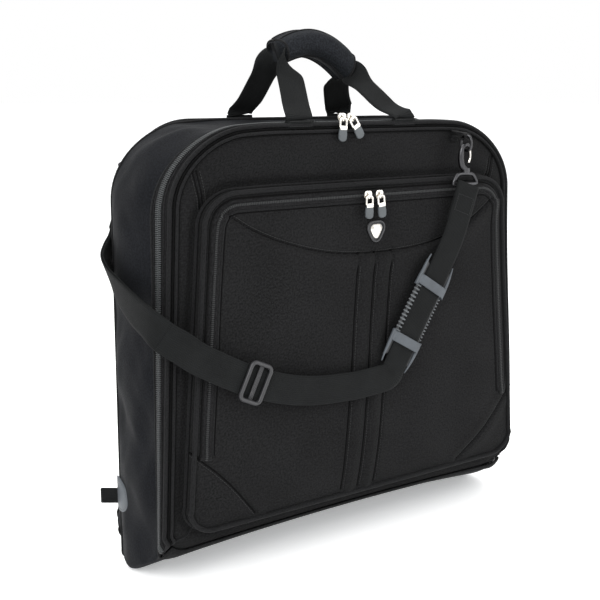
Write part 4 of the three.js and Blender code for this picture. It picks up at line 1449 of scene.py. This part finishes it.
def build_pad_bridges(front):
    """The moulded bridges over the strap at both ends of the pad, with the horns beside them."""
    for side, name in ((1, "upper"), (-1, "lower")):
        node = f"pad_bridge_{name}"
        crest = low(node).y + 1.6 * MM
        v = side * 41.0
        arch = [(-25, front + 1.5 * MM), (-24.2, crest + 2.5 * MM), (-20.5, crest + 0.3 * MM), (-8, crest),
                (8, crest), (20.5, crest + 0.3 * MM), (24.2, crest + 2.5 * MM), (25, front + 1.5 * MM)]
        path = smooth_path(np.array([pad_place(u, v - side * 0.02 * u, 0) + (0, d, 0) for u, d in arch]), 40)
        across = np.broadcast_to(PAD_ALONG, path.shape)
        bridge = ribbon(f"bridge_{name}", path, across, 13.5 * MM, 2.4 * MM, GREY_RUBBER)
        ride(bridge, "pad", "grey_rubber", node)
        for sign, edge_name in SIDES:
            path = smooth_path([
                pad_place(sign * u, side * v, front + lift * MM)
                for u, v, lift in ((24.4, 33, 0), (24.8, 52, -0.5), (24.2, 66, 0), (22.6, 78, 0.5))
            ], 16)
            radius = np.linspace(1, 0.25, 16) * 3.4 * MM
            cord(f"pad_horn_{name}_{edge_name}", path, radius, "pad", GREY_RUBBER, "grey_rubber")


# ---------------------------------------------------------------- strap ends: tab, ring, hook
# the hook's outlines, as millimetres across and down from the middle of the ring
HOOK_SPINE = ((1.5, 36), (-5.5, 31), (-8.6, 22), (-8.2, 11), (-4.5, 3.5), (1.5, 1.6), (6.5, 5), (7.6, 9.5))
HOOK_GATE = ((6.8, 9.6), (7.8, 15), (7.6, 21), (5.5, 27))
HOOK_LOOP = (
    (0, 40.5), (10, 41), (15, 43.5), (20, 51), (19, 54.2),
    (0, 54.6), (-19, 54.2), (-20, 51), (-15, 43.5), (-10, 41),
)
SPINE_SAMPLES = 50


def strap_end_axes(prefix, ring_middle, facing):
    """The way a hook hangs from its ring, and the direction across it."""
    if prefix == "front":
        return -Z, X
    down = middle_of(f"{prefix}_swivel_loop") - ring_middle
    down[1] = 0
    down /= np.linalg.norm(down)
    return down, np.cross(down, Y) * facing


def build_strap_end(prefix, body, gate_body):
    """One end of the shoulder strap: a webbing tab on the bag, its ring, and the hook with its swivel loop."""
    ring_middle = middle_of(f"{prefix}_ring")
    facing, face_y = (-1.0, LID_FRONT) if prefix == "front" else (1.0, REAR_FACE)
    down, across = strap_end_axes(prefix, ring_middle, facing)
    out = np.array([0, facing, 0])
    start = ring_middle - down * 11 * MM - out * (abs(ring_middle[1] - face_y) - 1 * MM)
    tab = smooth_path([
        start + out * 1 * MM - down * 6 * MM, start + out * 4 * MM - down * 4 * MM,
        ring_middle - down * 13 * MM - out * 2 * MM, ring_middle - down * 7.6 * MM + out * 3 * MM,
        ring_middle - down * 5 * MM - out * 2 * MM, start + out * 4 * MM + down * 2 * MM,
        start + out * 1 * MM + down * 9 * MM,
    ], 40)
    tab_band = ribbon(f"{prefix}_tab_band", tab, np.broadcast_to(across, tab.shape), 13 * MM, 1.6 * MM, TAPE)
    ride(tab_band, body, "webbing", f"{prefix}_strap_tab")
    wire = on_plane(rounded_loop(19.5 * MM, 19.5 * MM, 8 * MM), ring_middle, out, -down)
    ring = tube(f"{prefix}_ring_wire", wire, 1.9 * MM, DARK_METAL, closed=True, sides=12, up=across)
    ride(ring, body, "dark_metal", f"{prefix}_ring")

    def hook_points(places):
        return [ring_middle + across * u * MM + down * v * MM for u, v in places]

    spine = smooth_path(hook_points(HOOK_SPINE), SPINE_SAMPLES)
    thick = np.interp(np.linspace(0, 1, SPINE_SAMPLES), [0, 0.1, 0.45, 0.75, 1], [3.6, 4.2, 4.0, 2.8, 1.7]) * MM
    stem = hook_points([(0.8, v) for v in (33, 35, 38, 40)])
    stem_radius = np.array([4.8, 5.6, 5.6, 3.8]) * MM
    hook = joined(f"{prefix}_hook_body", [
        tube(f"{prefix}_hook_spine", spine, thick, DARK_METAL, sides=12, up=out),
        tube(f"{prefix}_hook_stem", stem, stem_radius, DARK_METAL, sides=14, up=out),
    ])
    ride(hook, body, "dark_metal", f"{prefix}_snap_hook")
    # dark plastic dots on the spine stand in for its holes: painted shade of the holes
    spots = [int(t * (SPINE_SAMPLES - 1)) for t in np.linspace(0.12, 0.5, 6)]
    dots = [place_matrix(spine[i] + out * (thick[i] - 0.25 * MM), across, down) for i in spots]
    hole_shade = copies(f"{prefix}_hook_holes", *bead(2.2 * MM, 2.2 * MM, 0.6 * MM), dots, PLASTIC, smooth=True)
    ride(hole_shade, body, "black_plastic")
    gate = tube(f"{prefix}_gate_wire", smooth_path(hook_points(HOOK_GATE), 14), 1.5 * MM, NICKEL, up=out)
    ride(gate, gate_body, "nickel", f"{prefix}_hook_gate")
    rim = smooth_path(hook_points(HOOK_LOOP), 60, closed=True)
    loop = tube(f"{prefix}_strap_loop", rim, 2.5 * MM, DARK_METAL, closed=True, sides=12, up=out)
    ride(loop, body, "dark_metal", f"{prefix}_swivel_loop")


# ---------------------------------------------------------------- sliders, pulls, badge
TAG_OUTLINE = (
    (-4.6, 7), (-5.6, 4), (-6.2, -2), (-5.8, -7), (-3.6, -9.6), (0, -10.2), (3.6, -9.6), (5.8, -7), (6.2, -2),
    (5.6, 4), (4.6, 7),
)


def build_slider(node, body):
    """A zipper slider: a rounded plate with a bridge over it."""
    lo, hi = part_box(node)
    x, y, z = middle = (lo + hi) / 2
    shield = rounded_loop((hi.x - lo.x) * 1.3, (hi.z - lo.z) * 1.05, 3.6 * MM)
    base = plate(f"{node}_shield", shield, middle, X, Z, (hi.y - lo.y) * 0.55, 0.7 * MM, NICKEL)
    arch = smooth_path([
        (x, y, hi.z - 1 * MM), (x, lo.y - 0.6 * MM, hi.z - 2.6 * MM), (x, lo.y - 0.8 * MM, z),
        (x, lo.y - 0.2 * MM, lo.z + 1.6 * MM), (x, y, lo.z + 0.6 * MM),
    ], 18)
    bridge = tube(f"{node}_bridge", arch, 1.7 * MM, NICKEL, up=X)
    ride(joined(f"{node}_metal", [base, bridge]), body, "nickel", node)


def build_pull(node, slider, body, slant):
    """What hangs from a slider: a ring, a clip and a moulded tag."""
    lo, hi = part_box(node)
    top = np.array([middle_of(slider)[0], (lo.y + hi.y) / 2, hi.z])
    down = np.array([math.sin(slant), 0, -math.cos(slant)])
    right = np.cross(down, Y)
    wire = on_plane(rounded_loop(9.6 * MM, 12 * MM, 3 * MM), top + down * 5.2 * MM, right, -down)
    ring = tube(f"{node}_ring", wire, 1.5 * MM, NICKEL, closed=True)
    tag_loop = np.array(TAG_OUTLINE)[::-1] * MM
    tag = plate(f"{node}_tag", tag_loop, top + down * 17.5 * MM, right, -down, 3.0 * MM, 0.9 * MM, PULL_RUBBER)
    clip_loop = rounded_loop(10.6 * MM, 4.8 * MM, 1.2 * MM)
    clip = plate(f"{node}_clip", clip_loop, top + down * 10.8 * MM, right, -down, 3.4 * MM, 0.6 * MM, NICKEL)
    ride(joined(f"{node}_drop", [ring, tag, clip]), body, "nickel", node)


def build_badge():
    """A plain three-sided badge: a rubber rim around a metal inlay."""
    lo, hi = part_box("badge_base")
    middle = np.array([(lo.x + hi.x) / 2, 0, (lo.z + hi.z) / 2])
    angles = np.linspace(0, 2 * math.pi, 48, endpoint=False)
    radius = 1 + 0.12 * np.cos(3 * (angles - math.pi / 2 - math.pi))
    shield = np.stack([np.cos(angles) * radius, np.sin(angles) * radius * 1.02], axis=-1)
    size = (hi.x - lo.x) / 2 * 0.95
    base = dome("badge_rim", shield * size, middle + Y * (hi.y + 1.5 * MM), X, Z, 3.6 * MM, BLACK_RUBBER)
    ride(base, "lid", "black_rubber", "badge_base")
    inlay = dome("badge_plate", shield * size * 0.66, middle + Y * (lo.y + 1.3 * MM), X, Z, 1.9 * MM, NICKEL)
    ride(inlay, "lid", "nickel", "badge_inlay")
    edge = on_plane(shield * size * 0.94, middle + Y * (hi.y - 0.6 * MM), X, Z)
    cord("badge_bead", edge, 1.2 * MM, "lid", BLACK_RUBBER, "black_rubber", closed=True)


# ---------------------------------------------------------------- inside the case
def build_inside():
    lo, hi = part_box("edge_frame")
    rim = at_depth(inset(gusset_slice(SEAM_Y - 1 * MM), 5 * MM), (lo.y + hi.y) / 2)
    wire = tube("edge_wire", rim, 2.4 * MM, PLASTIC, closed=True)
    ride(wire, "case", "black_plastic", "edge_frame")
    for side, name in SIDES:
        node = f"tie_strap_{name}"
        lo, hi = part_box(node)
        outer, inner = (lo.x, hi.x) if side < 0 else (hi.x, lo.x)
        outer_z, inner_z = hi.z - 12 * MM, lo.z + 12 * MM
        sag = ((outer + inner) / 2, hi.y - 1.6 * MM, (outer_z + inner_z) / 2 - 8 * MM)
        path = smooth_path([(outer, hi.y - 0.5 * MM, outer_z), sag, (inner, hi.y - 0.8 * MM, inner_z)], 40)
        across = np.cross(frames_along(path, False), Y)
        band = ribbon(f"tie_band_{name}", path, across, 22 * MM, 1.6 * MM, WEBBING)
        ride(band, "case", "webbing", node)
    half, bottom, top, radius = CASE_HALF - 16 * MM, LID_BOTTOM + 8 * MM, LID_TOP - 10 * MM, 66 * MM
    half_at = half_width_fn(half, half - TAPER, bottom, top, radius, 12 * MM)
    x, z = panel_grid(half_at, 50, 50, bottom, top, radius)
    y = high("lid_panel").y + 0.2 * MM + soft_noise(x, z, 140 * MM, 71) * 0.3 * MM
    liner = surface("lid_lining", np.stack([x, y, z], axis=-1), LINING, flip=True)
    ride(liner, "lid", "lining")


def build_hanger():
    """The moulded bracket that takes the clothes hangers, held under the top of the case."""
    lo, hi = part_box("hanger_bracket")
    width, height, depth = hi.x - lo.x, hi.z - lo.z - 12 * MM, hi.y - lo.y - 3 * MM
    back_y, middle_z = hi.y - 1.5 * MM, lo.z + height / 2
    back = rounded_loop(width, height, 4 * MM)
    parts = [plate("hanger_back", back, (0, back_y, middle_z), X, Z, 2.6 * MM, 0.6 * MM, PLASTIC)]
    ear = rounded_loop(depth, height * 0.7, 3 * MM)
    for side, name in SIDES:
        origin = (side * (width / 2 - 2 * MM), back_y - depth / 2, middle_z)
        parts.append(plate(f"hanger_ear_{name}", ear, origin, Y, Z, 2.4 * MM, 0.5 * MM, PLASTIC))
    ride(joined("hanger_plate", parts), "case", "black_plastic", "hanger_bracket")


KEPT_NODES = {"hanger_clamp_lever": DARK_METAL, "tie_buckle": PLASTIC}


def dress_nodes():
    """The CAD pieces that stay in view take finished materials."""
    for node, material in KEPT_NODES.items():
        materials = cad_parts[node].data.materials
        materials.clear()
        materials.append(material)


# ---------------------------------------------------------------- studio and camera
def area_light(name, position, target, size, power, colour=(1, 1, 1)):
    light = bpy.data.lights.new(name, "AREA")
    light.shape = "RECTANGLE"
    light.size, light.size_y = size
    light.energy = power
    light.color = colour
    obj = bpy.data.objects.new(name, light)
    obj.location = position
    obj.rotation_euler = (Vector(target) - Vector(position)).to_track_quat("-Z", "Y").to_euler()
    bpy.context.scene.collection.objects.link(obj)


def build_studio():
    bpy.ops.mesh.primitive_plane_add(size=400, location=(0, 0, -0.5 * MM))
    floor = bpy.context.object
    floor.name = "floor"
    material, _, shader = new_material("floor_paper")
    shader.inputs["Base Color"].default_value = (0.97, 0.97, 0.97, 1)
    shader.inputs["Emission Color"].default_value = (0.97, 0.99, 1, 1)
    shader.inputs["Emission Strength"].default_value = 0.3
    shader.inputs["Roughness"].default_value = 0.6
    floor.data.materials.append(material)
    world = bpy.data.worlds.new("studio")
    world.use_nodes = True
    world.node_tree.nodes["Background"].inputs["Color"].default_value = (1, 1, 1, 1)
    world.node_tree.nodes["Background"].inputs["Strength"].default_value = 1.0
    bpy.context.scene.world = world
    area_light("key", (-2.0, -1.6, 2.0), (0, 0, 0.3), (1.6, 1.6), 60)
    area_light("fill", (1.8, -2.4, 1.2), (0, 0, 0.3), (1.4, 1.8), 25)
    area_light("top", (0.0, 0.4, 2.4), (0, 0, 0.5), (2.0, 1.2), 30)
    bpy.context.scene.view_settings.view_transform = "Standard"


CAMERA_FIELD = 33.7  # degrees across the picture
CAMERA_PLACE = (-0.7674, -1.0774, 0.6005)
CAMERA_PITCH = 11.85  # degrees below level
CAMERA_TURN = -33.87  # degrees about Z, from looking along +Y


def build_camera():
    camera = bpy.data.cameras.new("camera")
    camera.sensor_width = 36
    camera.sensor_fit = "HORIZONTAL"
    camera.angle = math.radians(CAMERA_FIELD)
    camera.clip_start = 0.01
    camera.clip_end = 50
    obj = bpy.data.objects.new("camera", camera)
    obj.location = CAMERA_PLACE
    obj.rotation_euler = (math.radians(90 - CAMERA_PITCH), 0, math.radians(CAMERA_TURN))
    bpy.context.scene.collection.objects.link(obj)
    bpy.context.scene.camera = obj


build_camera()
build_studio()
build_gusset()
build_case_rear()
build_lid_panel()
build_lid_edge()
build_lid_under()
build_main_zipper()
build_border_stitches()
build_seam_to_corner()
build_pocket()
build_pocket_zipper()
build_pocket_seams()
build_rear_half()
build_fold_cloth()
for side, name in SIDES:
    build_side_patch(side, name)
    build_side_tab(side, name)
build_handle("front", "front_handle", "lid", -0.0655, 0.0035, LID_TOP + 0.006, 1)
build_handle("rear", "rear_handle", "rear_half", 0.079, 0.0225, REAR_TOP + 0.004, -1)
build_grip_half("front", "front_handle", 1)
build_grip_half("rear", "rear_handle", -1)
build_strap()
build_buckle()
build_pad()
build_strap_end("front", "lid", "front_gate")
build_strap_end("rear", "rear_half", "rear_gate")
for kind, swing in (("main", 1.0), ("pocket", 0.2)):
    for name, slant in (("left", -0.06), ("right", 0.55)):
        slider = f"{kind}_slider_{name}"
        build_slider(slider, slider)
        build_pull(f"{slider}_pull", slider, f"{kind}_pull_{name}", slant * swing)
build_badge()
build_inside()
build_hanger()
dress_nodes()
